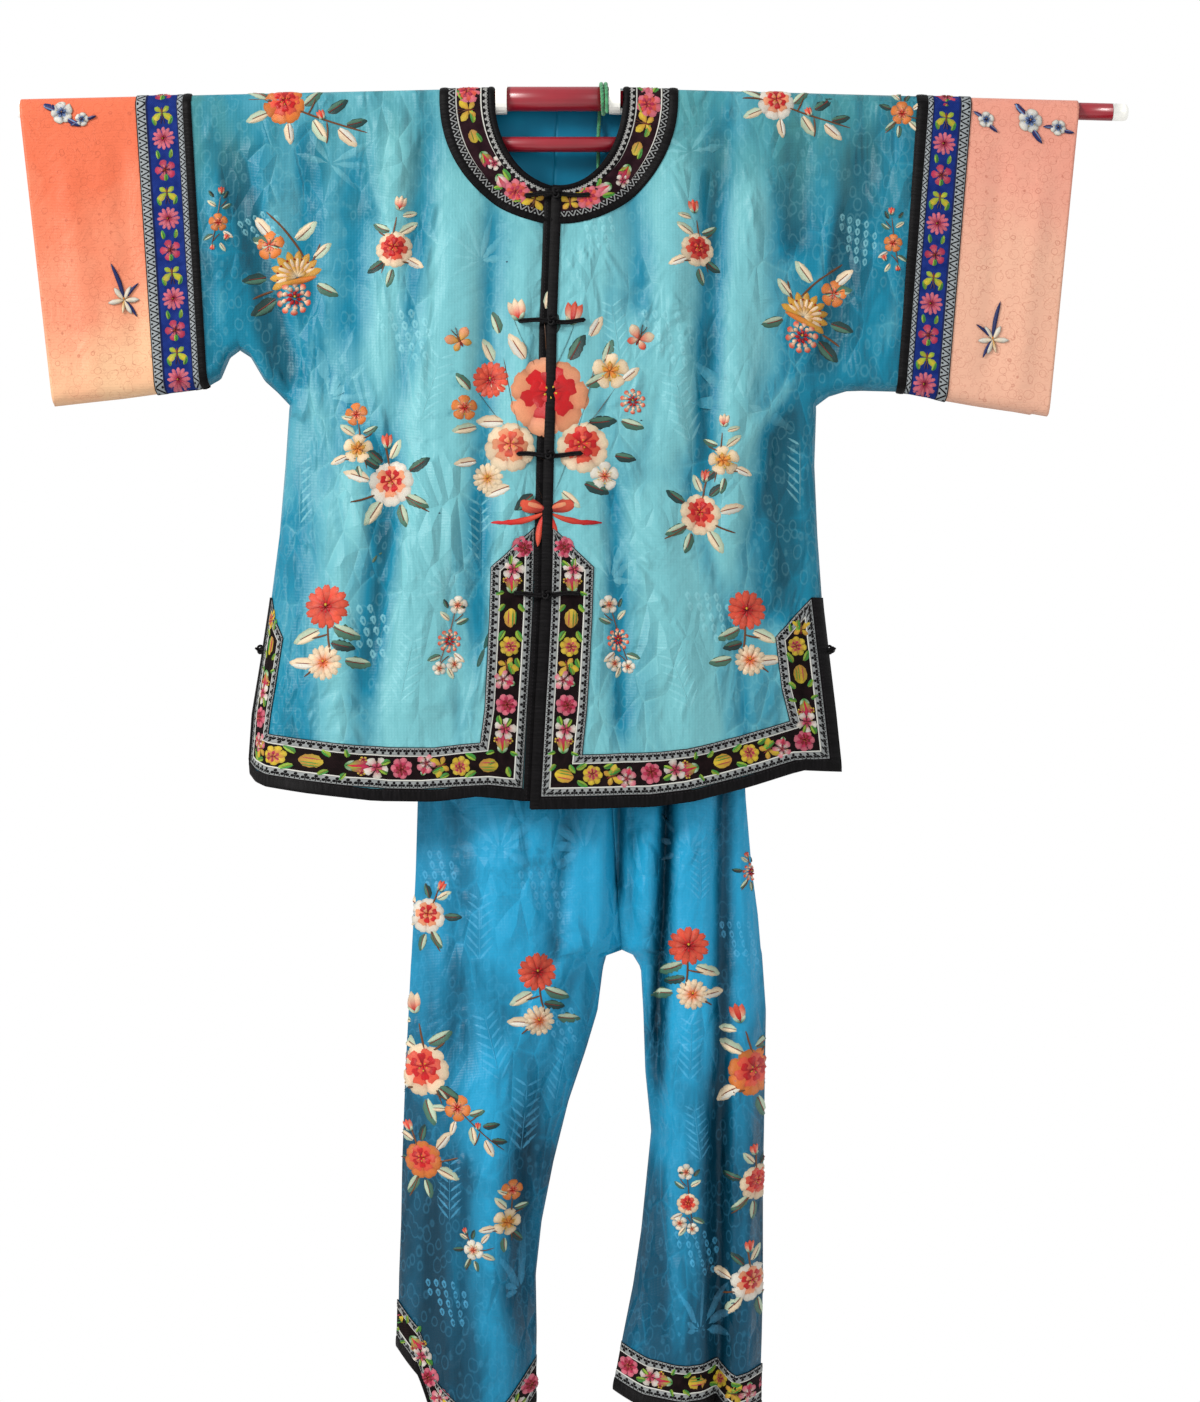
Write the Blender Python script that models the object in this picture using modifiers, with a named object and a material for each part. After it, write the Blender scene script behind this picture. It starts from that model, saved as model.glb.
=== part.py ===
"""A silk jacket and trousers hung on a telescopic robe hanger.

The jacket hangs from the rod that runs through its sleeves. Each body half is cut in one with its
front and back and folds over the rod; the fold is where the front and back solids meet. The trousers
hang inside it, from a cord that is tied round their waistband and knotted on the rod.
Metres, +Z up, front towards -Y. Left and right are the wearer's, so the wearer's right is at -X.
The origin is the middle of the hanger's thick tube, on its axis.
"""

import math

import bmesh
import bpy
import numpy as np

# Hanger
TUBE_R = 0.0120
TUBE_HALF = 0.0530
ROD_R = 0.0085
ROD_RIGHT_END = -0.5430
ROD_LEFT_END = 0.5680
CAP_LENGTH = 0.0160
FERRULE_R = 0.0150
FERRULE_LENGTH = 0.0110
BAR_R = 0.0075
BAR_Z = -0.0455
STRAP_INNER = 0.0675
STRAP_THICK = 0.0065
STRAP_WIDE = 0.0080
DROOP_FROM = 0.0640
DROOP_RIGHT = 0.0230
DROOP_LEFT = 0.0270

# Cloth
WALL = 0.0015
TRIM = 0.0010
GAP = 0.0006
SEAM = 0.0003
RESTS = 0.0004
WRAP_R = ROD_R + RESTS
ARC = WRAP_R * math.pi / 2

# Jacket body
SHOULDER_Z = 0.0
UNDERARM_Z = -0.301
BINDING = 0.011
RIBBON_INNER = 0.052
UNDERLAP = 0.004
UNDERLAP_BINDING = 0.015
UNDERLAP_BACK = 0.0055
UNDERLAP_BLEND = 0.030
NECK_RIGHT = -0.0665
NECK_LEFT = 0.0645
NECK_DROP = 0.0910
BACK_NECK_DROP = 0.0030
COLLAR_BINDING = 0.0080
COLLAR_RIBBON = 0.0430
COLLAR_WIDE = 0.0530
COLLAR_DROP = 0.0380

# Trousers
LEG_RIBBON = 0.047
LEG_BINDING = 0.011
WAIST_TOP = -0.340
WAIST_BOTTOM = -0.491

# Cords
CORD_R = 0.0018
BELT_R = 0.0020
FROG_R = 0.0020
FROG_REACH = 0.033
FROG_LIFT = WALL + GAP + TRIM + 0.00035 + FROG_R

COLOURS = {
    "silk_jacket": ((0.16, 0.50, 0.60), 0.38),
    "silk_trousers": ((0.02, 0.25, 0.45), 0.38),
    "silk_cuff": ((0.85, 0.37, 0.24), 0.45),
    "ribbon_dark": ((0.05, 0.03, 0.03), 0.6),
    "ribbon_blue": ((0.03, 0.05, 0.22), 0.55),
    "binding_black": ((0.01, 0.01, 0.01), 0.5),
    "waist_cotton": ((0.60, 0.62, 0.60), 0.8),
    "cord_green": ((0.02, 0.25, 0.10), 0.6),
    "rod_red": ((0.26, 0.02, 0.05), 0.35),
    "plastic_white": ((0.80, 0.78, 0.70), 0.4),
}


def table(rows, *names):
    """The named columns of a short table, as arrays."""
    values = np.array(rows, float)
    return {name: values[:, i] for i, name in enumerate(names)}


def along(at, rows, name):
    """The table's column read at a height or place, between its rows."""
    order = np.argsort(rows["at"])
    return np.interp(at, rows["at"][order], rows[name][order])


# The line where the two fronts meet, the side seams and the sleeve seams, from the shoulder to the hem.
BODY_LINES = table(
    [
        (0.0, -0.003, -0.2458, 0.2366),
        (-0.089, -0.007, -0.2527, 0.2420),
        (-0.228, -0.012, -0.2634, 0.2505),
        (-0.301, -0.013, -0.269, 0.255),
        (-0.361, -0.0145, -0.273, 0.253),
        (-0.431, -0.016, -0.279, 0.256),
        (-0.501, -0.017, -0.288, 0.261),
        (-0.561, -0.020, -0.297, 0.268),
        (-0.610, -0.023, -0.305, 0.274),
        (-0.710, -0.028, -0.312, 0.285),
    ],
    "at",
    "centre",
    "right",
    "left",
)
# Lower edge of the jacket, by place across it.
HEM = table(
    [
        (-0.312, -0.650),
        (-0.300, -0.668),
        (-0.270, -0.678),
        (-0.230, -0.687),
        (-0.180, -0.696),
        (-0.120, -0.698),
        (-0.080, -0.694),
        (-0.032, -0.699),
        (-0.028, -0.707),
        (0.040, -0.706),
        (0.090, -0.704),
        (0.130, -0.698),
        (0.185, -0.683),
        (0.240, -0.665),
        (0.285, -0.666),
    ],
    "at",
    "hem",
)
# How far the cloth swells from the middle plane, down the body: front and back.
SWELL = table(
    [
        (0.0, 0.0, 0.0),
        (-0.030, 0.001, 0.001),
        (-0.120, 0.010, 0.010),
        (-0.200, 0.018, 0.018),
        (-0.301, 0.030, 0.026),
        (-0.450, 0.042, 0.036),
        (-0.710, 0.052, 0.046),
    ],
    "at",
    "front",
    "back",
)
# Rows of the body panels below the rod: height at the front opening and at the side.
BODY_ROWS = [
    (-0.022, -0.022),
    (-0.055, -0.055),
    (-0.095, -0.095),
    (-0.140, -0.140),
    (-0.190, -0.190),
    (-0.245, -0.245),
    (-0.280, -0.280),
    (-0.301, -0.301),
    (-0.345, -0.365),
    (-0.390, -0.430),
    (-0.431, -0.493),
    (-0.451, -0.514),
    (-0.471, -0.535),
    (-0.535, -0.560),
    (-0.595, -0.583),
]
BACK_ROWS = [0, 2, 4, 6, 7, 9, 10, 11, 12, 14]
ARC_ROWS = 4
NEAR = 4
MIDDLE = 5

# Lower edges of the sleeves and where their rings stand: place at the rod and at the lower edge.
SLEEVE_RIGHT = table(
    [
        (-0.2458, -0.2708, -0.2980),
        (-0.266, -0.281, -0.288),
        (-0.284, -0.294, -0.276),
        (-0.300, -0.308, -0.252),
        (-0.318, -0.320, -0.244),
        (-0.336, -0.331, -0.252),
        (-0.352, -0.340, -0.273),
        (-0.370, -0.353, -0.280),
        (-0.381, -0.364, -0.282),
        (-0.402, -0.384, -0.284),
        (-0.421, -0.402, -0.286),
    ],
    "at",
    "low_x",
    "low_z",
)
CUFF_RIGHT = table(
    [
        (-0.421, -0.402, -0.286),
        (-0.460, -0.437, -0.290),
        (-0.500, -0.472, -0.293),
        (-0.538, -0.505, -0.296),
    ],
    "at",
    "low_x",
    "low_z",
)
SLEEVE_LEFT = table(
    [
        (0.2366, 0.2568, -0.2980),
        (0.252, 0.268, -0.291),
        (0.272, 0.286, -0.285),
        (0.300, 0.302, -0.284),
        (0.330, 0.322, -0.284),
        (0.360, 0.338, -0.284),
        (0.372, 0.349, -0.285),
        (0.390, 0.367, -0.288),
        (0.409, 0.385, -0.292),
    ],
    "at",
    "low_x",
    "low_z",
)
CUFF_LEFT = table(
    [
        (0.409, 0.385, -0.292),
        (0.445, 0.419, -0.297),
        (0.481, 0.453, -0.301),
        (0.517, 0.487, -0.306),
    ],
    "at",
    "low_x",
    "low_z",
)
SLEEVE_BAND = 2

# Largest folds: place and height where each starts and ends, half width, and how far it stands out.
FRONT_FOLDS = table(
    [
        (-0.330, -0.045, -0.268, -0.285, 0.016, -0.007),
        (-0.252, -0.030, -0.248, -0.220, 0.014, -0.004),
        (-0.200, -0.050, -0.205, -0.240, 0.018, -0.004),
        (-0.160, -0.030, -0.160, -0.340, 0.022, 0.006),
        (-0.130, -0.010, -0.190, -0.600, 0.017, -0.007),
        (-0.100, -0.110, -0.150, -0.640, 0.024, 0.007),
        (-0.066, -0.100, -0.080, -0.560, 0.014, -0.006),
        (-0.210, -0.380, -0.215, -0.660, 0.022, 0.006),
        (0.070, -0.060, 0.078, -0.220, 0.016, -0.005),
        (0.115, -0.060, 0.112, -0.350, 0.018, 0.006),
        (0.160, -0.010, 0.140, -0.400, 0.015, -0.008),
        (0.190, -0.070, 0.165, -0.480, 0.020, 0.006),
        (0.234, -0.020, 0.235, -0.150, 0.014, -0.006),
        (0.305, -0.030, 0.262, -0.270, 0.018, -0.007),
        (0.220, -0.320, 0.214, -0.520, 0.020, -0.007),
        (0.052, -0.380, 0.062, -0.640, 0.013, -0.007),
        (0.095, -0.400, 0.135, -0.640, 0.022, 0.008),
    ],
    "x0",
    "z0",
    "x1",
    "z1",
    "wide",
    "out",
)
BACK_FOLDS = table(
    [
        (-0.300, -0.045, -0.262, -0.285, 0.018, -0.006),
        (-0.190, -0.040, -0.200, -0.640, 0.020, -0.006),
        (-0.120, -0.060, -0.130, -0.640, 0.022, 0.007),
        (-0.055, -0.030, -0.060, -0.600, 0.018, -0.006),
        (0.060, -0.040, 0.070, -0.620, 0.020, -0.007),
        (0.125, -0.050, 0.140, -0.640, 0.022, 0.007),
        (0.195, -0.040, 0.205, -0.620, 0.018, -0.006),
        (0.300, -0.045, 0.255, -0.280, 0.018, -0.006),
    ],
    "x0",
    "z0",
    "x1",
    "z1",
    "wide",
    "out",
)

# Trouser legs: outer and inner edge down each leg. Above the crotch the inner edge is the centre seam.
CROTCH_Z = -0.848
LEG_RIGHT = table(
    [
        (-0.491, -0.128, 0.0450),
        (-0.600, -0.139, 0.0470),
        (-0.701, -0.142, 0.0510),
        (-0.771, -0.144, 0.0542),
        (-0.815, -0.146, 0.0578),
        (-0.848, -0.148, 0.0600),
        (-0.856, -0.148, 0.0500),
        (-0.911, -0.151, 0.0370),
        (-0.951, -0.153, 0.0250),
        (-1.001, -0.155, 0.0080),
        (-1.061, -0.157, -0.0070),
        (-1.121, -0.158, -0.0190),
        (-1.175, -0.160, -0.0250),
        (-1.230, -0.161, -0.0240),
        (-1.300, -0.162, -0.0250),
    ],
    "at",
    "outer",
    "inner",
)
LEG_LEFT = table(
    [
        (-0.491, 0.170, 0.0456),
        (-0.600, 0.180, 0.0476),
        (-0.701, 0.185, 0.0516),
        (-0.771, 0.191, 0.0562),
        (-0.815, 0.197, 0.0602),
        (-0.848, 0.200, 0.0630),
        (-0.856, 0.201, 0.0740),
        (-0.911, 0.205, 0.0840),
        (-0.971, 0.204, 0.0860),
        (-1.031, 0.203, 0.0920),
        (-1.081, 0.202, 0.0870),
        (-1.131, 0.202, 0.0820),
        (-1.185, 0.202, 0.0740),
        (-1.235, 0.201, 0.0640),
        (-1.300, 0.199, 0.0520),
    ],
    "at",
    "outer",
    "inner",
)
# Lower edge of each leg, by share of its width from the outer to the inner edge.
LEG_HEM_RIGHT = table(
    [
        (0.0, -1.247),
        (0.16, -1.270),
        (0.30, -1.322),
        (0.58, -1.358),
        (0.80, -1.338),
        (1.0, -1.302),
    ],
    "at",
    "hem",
)
LEG_HEM_LEFT = table(
    [
        (0.0, -1.311),
        (0.18, -1.316),
        (0.32, -1.300),
        (0.52, -1.303),
        (0.80, -1.299),
        (1.0, -1.289),
    ],
    "at",
    "hem",
)
LEG_DEPTH = table(
    [
        (-0.491, 0.017, 0.017, 0.014),
        (-0.600, 0.024, 0.022, 0.020),
        (-0.701, 0.028, 0.025, 0.023),
        (-0.771, 0.029, 0.026, 0.020),
        (-0.815, 0.029, 0.026, 0.012),
        (-0.848, 0.029, 0.026, 0.0),
        (-1.000, 0.030, 0.027, 0.0),
        (-1.300, 0.034, 0.032, 0.0),
    ],
    "at",
    "front",
    "back",
    "fork",
)
LEG_FRONT_FOLDS = table(
    [
        (-0.080, -0.600, -0.045, -0.860, 0.030, 0.007),
        (-0.098, -0.700, -0.095, -0.960, 0.018, -0.006),
        (0.028, -0.560, -0.008, -0.870, 0.012, -0.009),
        (0.046, -0.520, 0.040, -0.840, 0.009, 0.006),
        (0.062, -0.520, 0.058, -0.800, 0.008, -0.012),
        (0.087, -0.520, 0.090, -0.830, 0.011, 0.007),
        (0.112, -0.500, 0.098, -0.960, 0.009, -0.017),
        (0.134, -0.520, 0.126, -1.300, 0.018, 0.007),
        (0.162, -0.560, 0.160, -0.980, 0.011, -0.010),
        (0.158, -0.990, 0.156, -1.340, 0.012, -0.017),
        (0.186, -0.600, 0.186, -1.300, 0.012, 0.006),
        (-0.070, -0.960, -0.062, -1.330, 0.026, 0.009),
        (-0.034, -1.020, -0.046, -1.200, 0.013, -0.006),
        (-0.118, -1.060, -0.128, -1.330, 0.014, -0.006),
    ],
    "x0",
    "z0",
    "x1",
    "z1",
    "wide",
    "out",
)
LEG_BACK_FOLDS = table(
    [
        (-0.090, -0.540, -0.085, -1.100, 0.020, -0.008),
        (-0.040, -0.540, -0.050, -1.200, 0.022, 0.007),
        (0.020, -0.520, 0.005, -0.860, 0.014, -0.008),
        (0.085, -0.520, 0.120, -1.000, 0.014, -0.009),
        (0.140, -0.560, 0.150, -1.300, 0.016, 0.008),
        (0.110, -1.020, 0.105, -1.330, 0.012, -0.010),
    ],
    "x0",
    "z0",
    "x1",
    "z1",
    "wide",
    "out",
)
LEG_SHARES = [0.0, 0.04, 0.12, 0.20, 0.27, 0.34, 0.42, 0.50, 0.58, 0.66, 0.75, 0.85, 0.94, 1.0]
LEG_BACK_SHARES = [0.0, 0.05, 0.16, 0.28, 0.40, 0.52, 0.64, 0.76, 0.88, 0.96, 1.0]

# Heights of the knot fastenings down the front, and of the one at each side slit.
FROG_HEIGHTS = {"neck": -0.100, "chest": -0.228, "waist": -0.361, "hem": -0.498}
SLIT_KNOT_Z = -0.545


def clear_scene():
    for obj in list(bpy.data.objects):
        bpy.data.objects.remove(obj)


def collection(name):
    made = bpy.data.collections.new(name)
    bpy.context.scene.collection.children.link(made)
    return made


def material(slot):
    """The slot's Principled material, made once."""
    found = bpy.data.materials.get(slot)
    if found:
        return found
    made = bpy.data.materials.new(slot)
    made.use_nodes = True
    shader = made.node_tree.nodes["Principled BSDF"]
    colour, rough = COLOURS[slot]
    shader.inputs["Base Color"].default_value = (*colour, 1.0)
    shader.inputs["Roughness"].default_value = rough
    made.diffuse_color = (*colour, 1.0)
    return made


def place(obj, name, slot, where):
    """Names an object, gives it its material and moves it to its collection."""
    obj.name = name
    obj.data.name = name
    obj.data.materials.clear()
    obj.data.materials.append(material(slot))
    for other in list(obj.users_collection):
        other.objects.unlink(obj)
    where.objects.link(obj)
    return obj


def smooth(t):
    """0 below 0 and 1 above 1, with a soft start and end."""
    t = np.clip(t, 0.0, 1.0)
    return t * t * (3 - 2 * t)


def folds_at(x, z, folds):
    """The sum of the folds at a place: each is a soft ridge or trough along a slanting line."""
    total = np.zeros(np.broadcast(x, z).shape)
    for x0, z0, x1, z1, wide, out in zip(*folds.values()):
        t = (z - z0) / (z1 - z0)
        line = x0 + (x1 - x0) * np.clip(t, 0, 1)
        ends = smooth((t + 0.12) / 0.24) * smooth((1.12 - t) / 0.24)
        total = total + out * ends * np.exp(-(((x - line) / wide) ** 2))
    return total


def rod_height(x):
    """The rod's axis: level in the thick tube, and drooping a little along each thin section."""
    right = -DROOP_RIGHT * np.maximum(-x - DROOP_FROM, 0)
    left = -DROOP_LEFT * np.maximum(x - DROOP_FROM, 0)
    return right + left


def rounded(edge, radius):
    """A closing edge: 0 on the edge, rising round a quarter circle to 1 at the radius."""
    t = 1 - np.clip(edge / radius, 0, 1)
    return np.sqrt(np.maximum(1 - t * t, 0))


def jacket_depth(x, z, back):
    """How far the inner face of the jacket hangs from the middle plane."""
    side = np.where(x < 0, -along(z, BODY_LINES, "right"), along(z, BODY_LINES, "left"))
    share = np.clip(np.abs(x) / side, 0, 1)
    # The right side turns back sharply towards its slit, and the left one lies flat.
    power = np.where(x < 0, 2.2 + 4.0 * smooth((-z - 0.30) / 0.25), 2.2)
    depth = WRAP_R + along(z, SWELL, "back" if back else "front") * (1 - share**power)
    if back:
        # The back stands off behind the thick tube and its ferrules.
        depth = depth + neck_bulge(x, z)
    depth = depth + folds_at(x, z, BACK_FOLDS if back else FRONT_FOLDS) * smooth(-z / 0.06)
    edge = np.hypot(np.maximum(side - np.abs(x), 0), np.maximum(z - UNDERARM_Z, 0))
    radius = 0.012 + 0.004 * smooth((-z - 0.30) / 0.2)
    closing = rounded(edge, radius)
    opened = 0.006 * smooth((-z - 0.50) / 0.16)
    return np.maximum(depth, 0.004) * closing + opened * (1 - closing)


def neck_bulge(x, z):
    return 0.0072 * smooth((0.095 - np.abs(x)) / 0.028) * smooth((z + 0.16) / 0.12)


def jacket_points(x, z, over, back, underlap=False):
    """The jacket's inner face at these places. over is the angle round the rod, or NaN below it."""
    depth = jacket_depth(x, z, back)
    if underlap:
        inward = along(z, BODY_LINES, "centre") + UNDERLAP - x
        depth = depth - UNDERLAP_BACK * smooth(1 - inward / UNDERLAP_BLEND) * smooth((-z - 0.02) / 0.05)
    on_rod = np.isfinite(over)
    angle = np.where(on_rod, over, 0)
    arc = WRAP_R + (neck_bulge(x, 0 * x) if back else 0)
    y = np.where(on_rod, arc * np.sin(angle), depth)
    height = rod_height(x) + np.where(on_rod, WRAP_R * np.cos(angle), z)
    return np.stack([x, y if back else -y, height], axis=-1)


def body_grid(side, back, near_offsets, far_offsets, middle, rows, hem_steps):
    """A body panel as a grid of points: over the rod, then down to the hem."""
    word = "right" if side < 0 else "left"
    shift = UNDERLAP if side < 0 and not back else 0.0

    def across(z_centre, z_side):
        """Places across a row. Those near an edge keep their offset from it."""
        centre = along(z_centre, BODY_LINES, "centre") + shift
        edge = along(z_side, BODY_LINES, word)
        turned = float(smooth((-z_side - 0.30) / 0.19))
        near = [centre + side * o for o in near_offsets]
        far = [edge - side * (a + (b - a) * turned) for a, b in far_offsets]
        return np.array([*near, *np.linspace(near[-1], far[0], middle + 2)[1:-1], *far])

    grid_x, grid_z, grid_over = [], [], []
    for step in range(ARC_ROWS):
        x = across(0.0, 0.0)
        grid_x.append(x)
        grid_z.append(0 * x)
        grid_over.append(0 * x + step / (ARC_ROWS - 1) * math.pi / 2)
    for z_centre, z_side in rows:
        x = across(z_centre, z_side)
        share = (x - x[0]) / (x[-1] - x[0])
        grid_x.append(x)
        grid_z.append(z_centre + (z_side - z_centre) * share)
        grid_over.append(x * math.nan)
    foot = across(-0.70, -0.655)
    hem = along(foot, HEM, "hem")
    if side < 0 and not back:
        hem = np.where(foot > -0.033, -0.699, hem)
    for up in hem_steps:
        x = across(-0.70 + up, -0.655 + up)
        grid_x.append(x)
        grid_z.append(hem + up)
        grid_over.append(x * math.nan)
    x, z, over = np.array(grid_x), np.array(grid_z), np.array(grid_over)
    return jacket_points(x, z, over, back, shift > 0)


def sleeve_grid(rings, around=8, folds=True):
    """Rings of a sleeve: over the rod, down the front, round the lower edge and up the back."""
    grid = []
    for top_x, low_x, low_z in zip(*rings.values()):
        drops = np.array([0, 0.14, 0.34, 0.56, 0.76, 0.90, 0.97, 1.0])
        half = []
        for back in (False, True):
            points = []
            for step in range(ARC_ROWS):
                angle = step / (ARC_ROWS - 1) * math.pi / 2
                points.append((top_x, WRAP_R * math.sin(angle), WRAP_R * math.cos(angle)))
            for drop in drops[1:]:
                x = top_x + (low_x - top_x) * drop
                z = low_z * drop
                full = WRAP_R + 0.002 + folds_at(x, z, BACK_FOLDS if back else FRONT_FOLDS) * smooth(-z / 0.06)
                depth = max(full, 0.003) * rounded(abs(low_z) * (1 - drop), 0.012)
                points.append((x, float(depth), z))
            half.append([(x, y if back else -y, z) for x, y, z in points])
        front, behind = half
        ring = front + behind[-2:0:-1]
        grid.append([(x, y, z + rod_height(x)) for x, y, z in ring])
    return np.array(grid, float)


def leg_grid(word):
    """A trouser leg: from its inner edge across the front, round the outer edge and back across the back."""
    rings = LEG_RIGHT if word == "right" else LEG_LEFT
    hem = LEG_HEM_RIGHT if word == "right" else LEG_HEM_LEFT
    front_shares = LEG_SHARES[::-1]
    back_shares = LEG_BACK_SHARES[1:]
    heights = list(rings["at"][:-1])
    for up in (LEG_RIBBON, LEG_BINDING, 0.0):
        heights.append(up)
    grid = []
    for number, height in enumerate(heights):
        row = []
        for back, shares in ((False, front_shares), (True, back_shares)):
            for share in shares:
                z = height if number < len(heights) - 3 else float(along(share, hem, "hem")) + height
                outer, inner = along(z, rings, "outer"), along(z, rings, "inner")
                x = outer + (inner - outer) * share
                full = along(z, LEG_DEPTH, "back" if back else "front")
                fork = along(z, LEG_DEPTH, "fork")
                seam = fork if share > 0.5 else 0.0
                depth = seam + (full - seam) * (1 - abs(2 * share - 1) ** 2.6)
                fold = folds_at(x, z, LEG_BACK_FOLDS if back else LEG_FRONT_FOLDS)
                at_inner = max(smooth((1 - share) / 0.12), min(fork / 0.018, 1.0))
                depth = depth + fold * smooth(share / 0.12) * at_inner
                depth = max(float(depth), seam / 2, 0.003 * math.sin(math.pi * share))
                row.append((x, depth if back else -depth, z))
        grid.append(row)
    return np.array(grid, float)


def vertex_normals(grid, ring):
    """The mean normal at each grid point, turned away from the garment's inside."""
    if ring:
        around = np.roll(grid, -1, axis=1) - np.roll(grid, 1, axis=1)
    else:
        around = np.gradient(grid, axis=1)
    normals = np.cross(around, np.gradient(grid, axis=0))
    normals /= np.maximum(np.linalg.norm(normals, axis=2, keepdims=True), 1e-12)
    away = grid * (0, 1, 0)
    return normals if (away * normals).sum() > 0 else -normals


def inset_border(corner, faces, amount):
    """Moves the border of an open sheet inwards by an amount, so that joined pieces keep a seam's gap."""
    count = {}
    for face in faces:
        for a, b in zip(face, face[1:] + face[:1]):
            count.setdefault(frozenset((a, b)), []).append((a, b, face))
    pulls = {}
    for edges in count.values():
        if len(edges) > 1:
            continue
        a, b, face = edges[0]
        run = corner[b] - corner[a]
        run /= np.linalg.norm(run)
        inward = corner[face].mean(0) - corner[a]
        inward -= run * inward.dot(run)
        inward /= np.linalg.norm(inward)
        pulls.setdefault(a, []).append(inward)
        pulls.setdefault(b, []).append(inward)
    moved = corner.copy()
    for vertex, inwards in pulls.items():
        total = np.sum(inwards, axis=0)
        moved[vertex] += total * amount / max(total.dot(inwards[0]), 0.3)
    return moved


def cloth(name, grid, slot, where, wall=WALL, lift=0.0, cells=None, ring=False):
    """A cloth wall on a grid of points. Its inner face is the grid moved out by lift."""
    rows, columns = grid.shape[:2]
    normals = vertex_normals(grid, ring)
    points = (grid + normals * lift).reshape(-1, 3)
    if cells is None:
        cells = [(r, c) for r in range(rows - 1) for c in range(columns if ring else columns - 1)]
    faces = []
    for r, c, *dropped in cells:
        d = (c + 1) % columns
        corners = [r * columns + c, r * columns + d, (r + 1) * columns + d, (r + 1) * columns + c]
        for index in dropped:
            del corners[index]
        faces.append(corners)
    used = sorted({v for f in faces for v in f})
    number = {v: i for i, v in enumerate(used)}
    faces = [[number[v] for v in f] for f in faces]
    corner = points[used]
    a, b, c = corner[faces[0][:3]]
    if np.cross(b - a, c - b).dot(normals.reshape(-1, 3)[used[faces[0][0]]]) < 0:
        faces = [f[::-1] for f in faces]
    corner = inset_border(corner, faces, SEAM / 2)
    mesh = bpy.data.meshes.new(name)
    mesh.from_pydata(corner.tolist(), [], faces)
    mesh.update()
    obj = bpy.data.objects.new(name, mesh)
    where.objects.link(obj)
    place(obj, name, slot, where)
    # The same diagonals in a panel and in what is sewn on it, so that they stay apart.
    split = obj.modifiers.new("diagonals", "TRIANGULATE")
    split.quad_method = "FIXED"
    thick = obj.modifiers.new("wall", "SOLIDIFY")
    thick.thickness = wall
    thick.offset = 1.0
    return obj


def prism(name, outline, y0, y1, where):
    """A cutter: a flat outline in X and Z, run along Y."""
    work = bmesh.new()
    near = [work.verts.new((x, y0, z)) for x, z in outline]
    face = work.faces.new(near)
    extruded = bmesh.ops.extrude_face_region(work, geom=[face])
    moved = [v for v in extruded["geom"] if isinstance(v, bmesh.types.BMVert)]
    bmesh.ops.translate(work, verts=moved, vec=(0, y1 - y0, 0))
    bmesh.ops.recalc_face_normals(work, faces=work.faces)
    mesh = bpy.data.meshes.new(name)
    work.to_mesh(mesh)
    work.free()
    solid = bpy.data.objects.new(name, mesh)
    where.objects.link(solid)
    return hide(solid)


def hide(solid):
    solid.hide_render = True
    solid.display_type = "WIRE"
    return solid


def combine(obj, other, operation):
    made = obj.modifiers.new(operation.lower(), "BOOLEAN")
    made.operation = operation
    made.solver = "EXACT"
    made.object = other


def neck_curve(grow, back, side):
    """Half a neckline, from its middle up past the rod, grown by a margin."""
    edge = (NECK_RIGHT if side < 0 else NECK_LEFT) + side * grow
    drop = (BACK_NECK_DROP if back else NECK_DROP) + grow * COLLAR_DROP / COLLAR_WIDE
    angles = np.linspace(0, math.pi / 2, 10)
    return [(edge * math.sin(a), -drop * math.cos(a)) for a in angles] + [(edge, 0.05)]


def neck_hole(grow, back, side):
    """The outline of everything inside a neckline, on one side."""
    curve = neck_curve(grow, back, side)
    past = -side * 0.06
    return curve + [(past, 0.05), (past, curve[0][1])]


def collar_band(inner, outer, back, side):
    """The band between two necklines, on one side."""
    inside, outside = neck_curve(inner, back, side), neck_curve(outer, back, side)
    past = -side * 0.06
    return inside + outside[::-1] + [(past, outside[0][1]), (past, inside[0][1])]


def tube(name, points, radii, slot, where, sides=1):
    """A cord: a bevelled curve through these points, with filled caps."""
    curve = bpy.data.curves.new(name, "CURVE")
    curve.dimensions = "3D"
    curve.bevel_depth = 0.001
    curve.bevel_resolution = sides
    curve.use_fill_caps = True
    spline = curve.splines.new("POLY")
    spline.points.add(len(points) - 1)
    for point, at, radius in zip(spline.points, points, radii):
        point.co = (*at, 1.0)
        point.radius = radius * 1000
    obj = bpy.data.objects.new(name, curve)
    where.objects.link(obj)
    return place(obj, name, slot, where)


def cylinder(name, start, end, radius, slot, where, sides=20):
    """A round bar between two points in the XZ plane."""
    run = np.array(end) - np.array(start)
    bpy.ops.mesh.primitive_cylinder_add(vertices=sides, radius=radius, depth=float(np.linalg.norm(run)))
    obj = bpy.context.object
    obj.rotation_euler = (0, math.atan2(run[0], run[2]), 0)
    obj.location = tuple((np.array(start) + np.array(end)) / 2)
    return place(obj, name, slot, where)


def box(name, low, high, slot, where):
    bpy.ops.mesh.primitive_cube_add(size=1.0)
    obj = bpy.context.object
    obj.scale = np.array(high) - np.array(low)
    obj.location = (np.array(high) + np.array(low)) / 2
    return hide(place(obj, name, slot, where))


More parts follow.
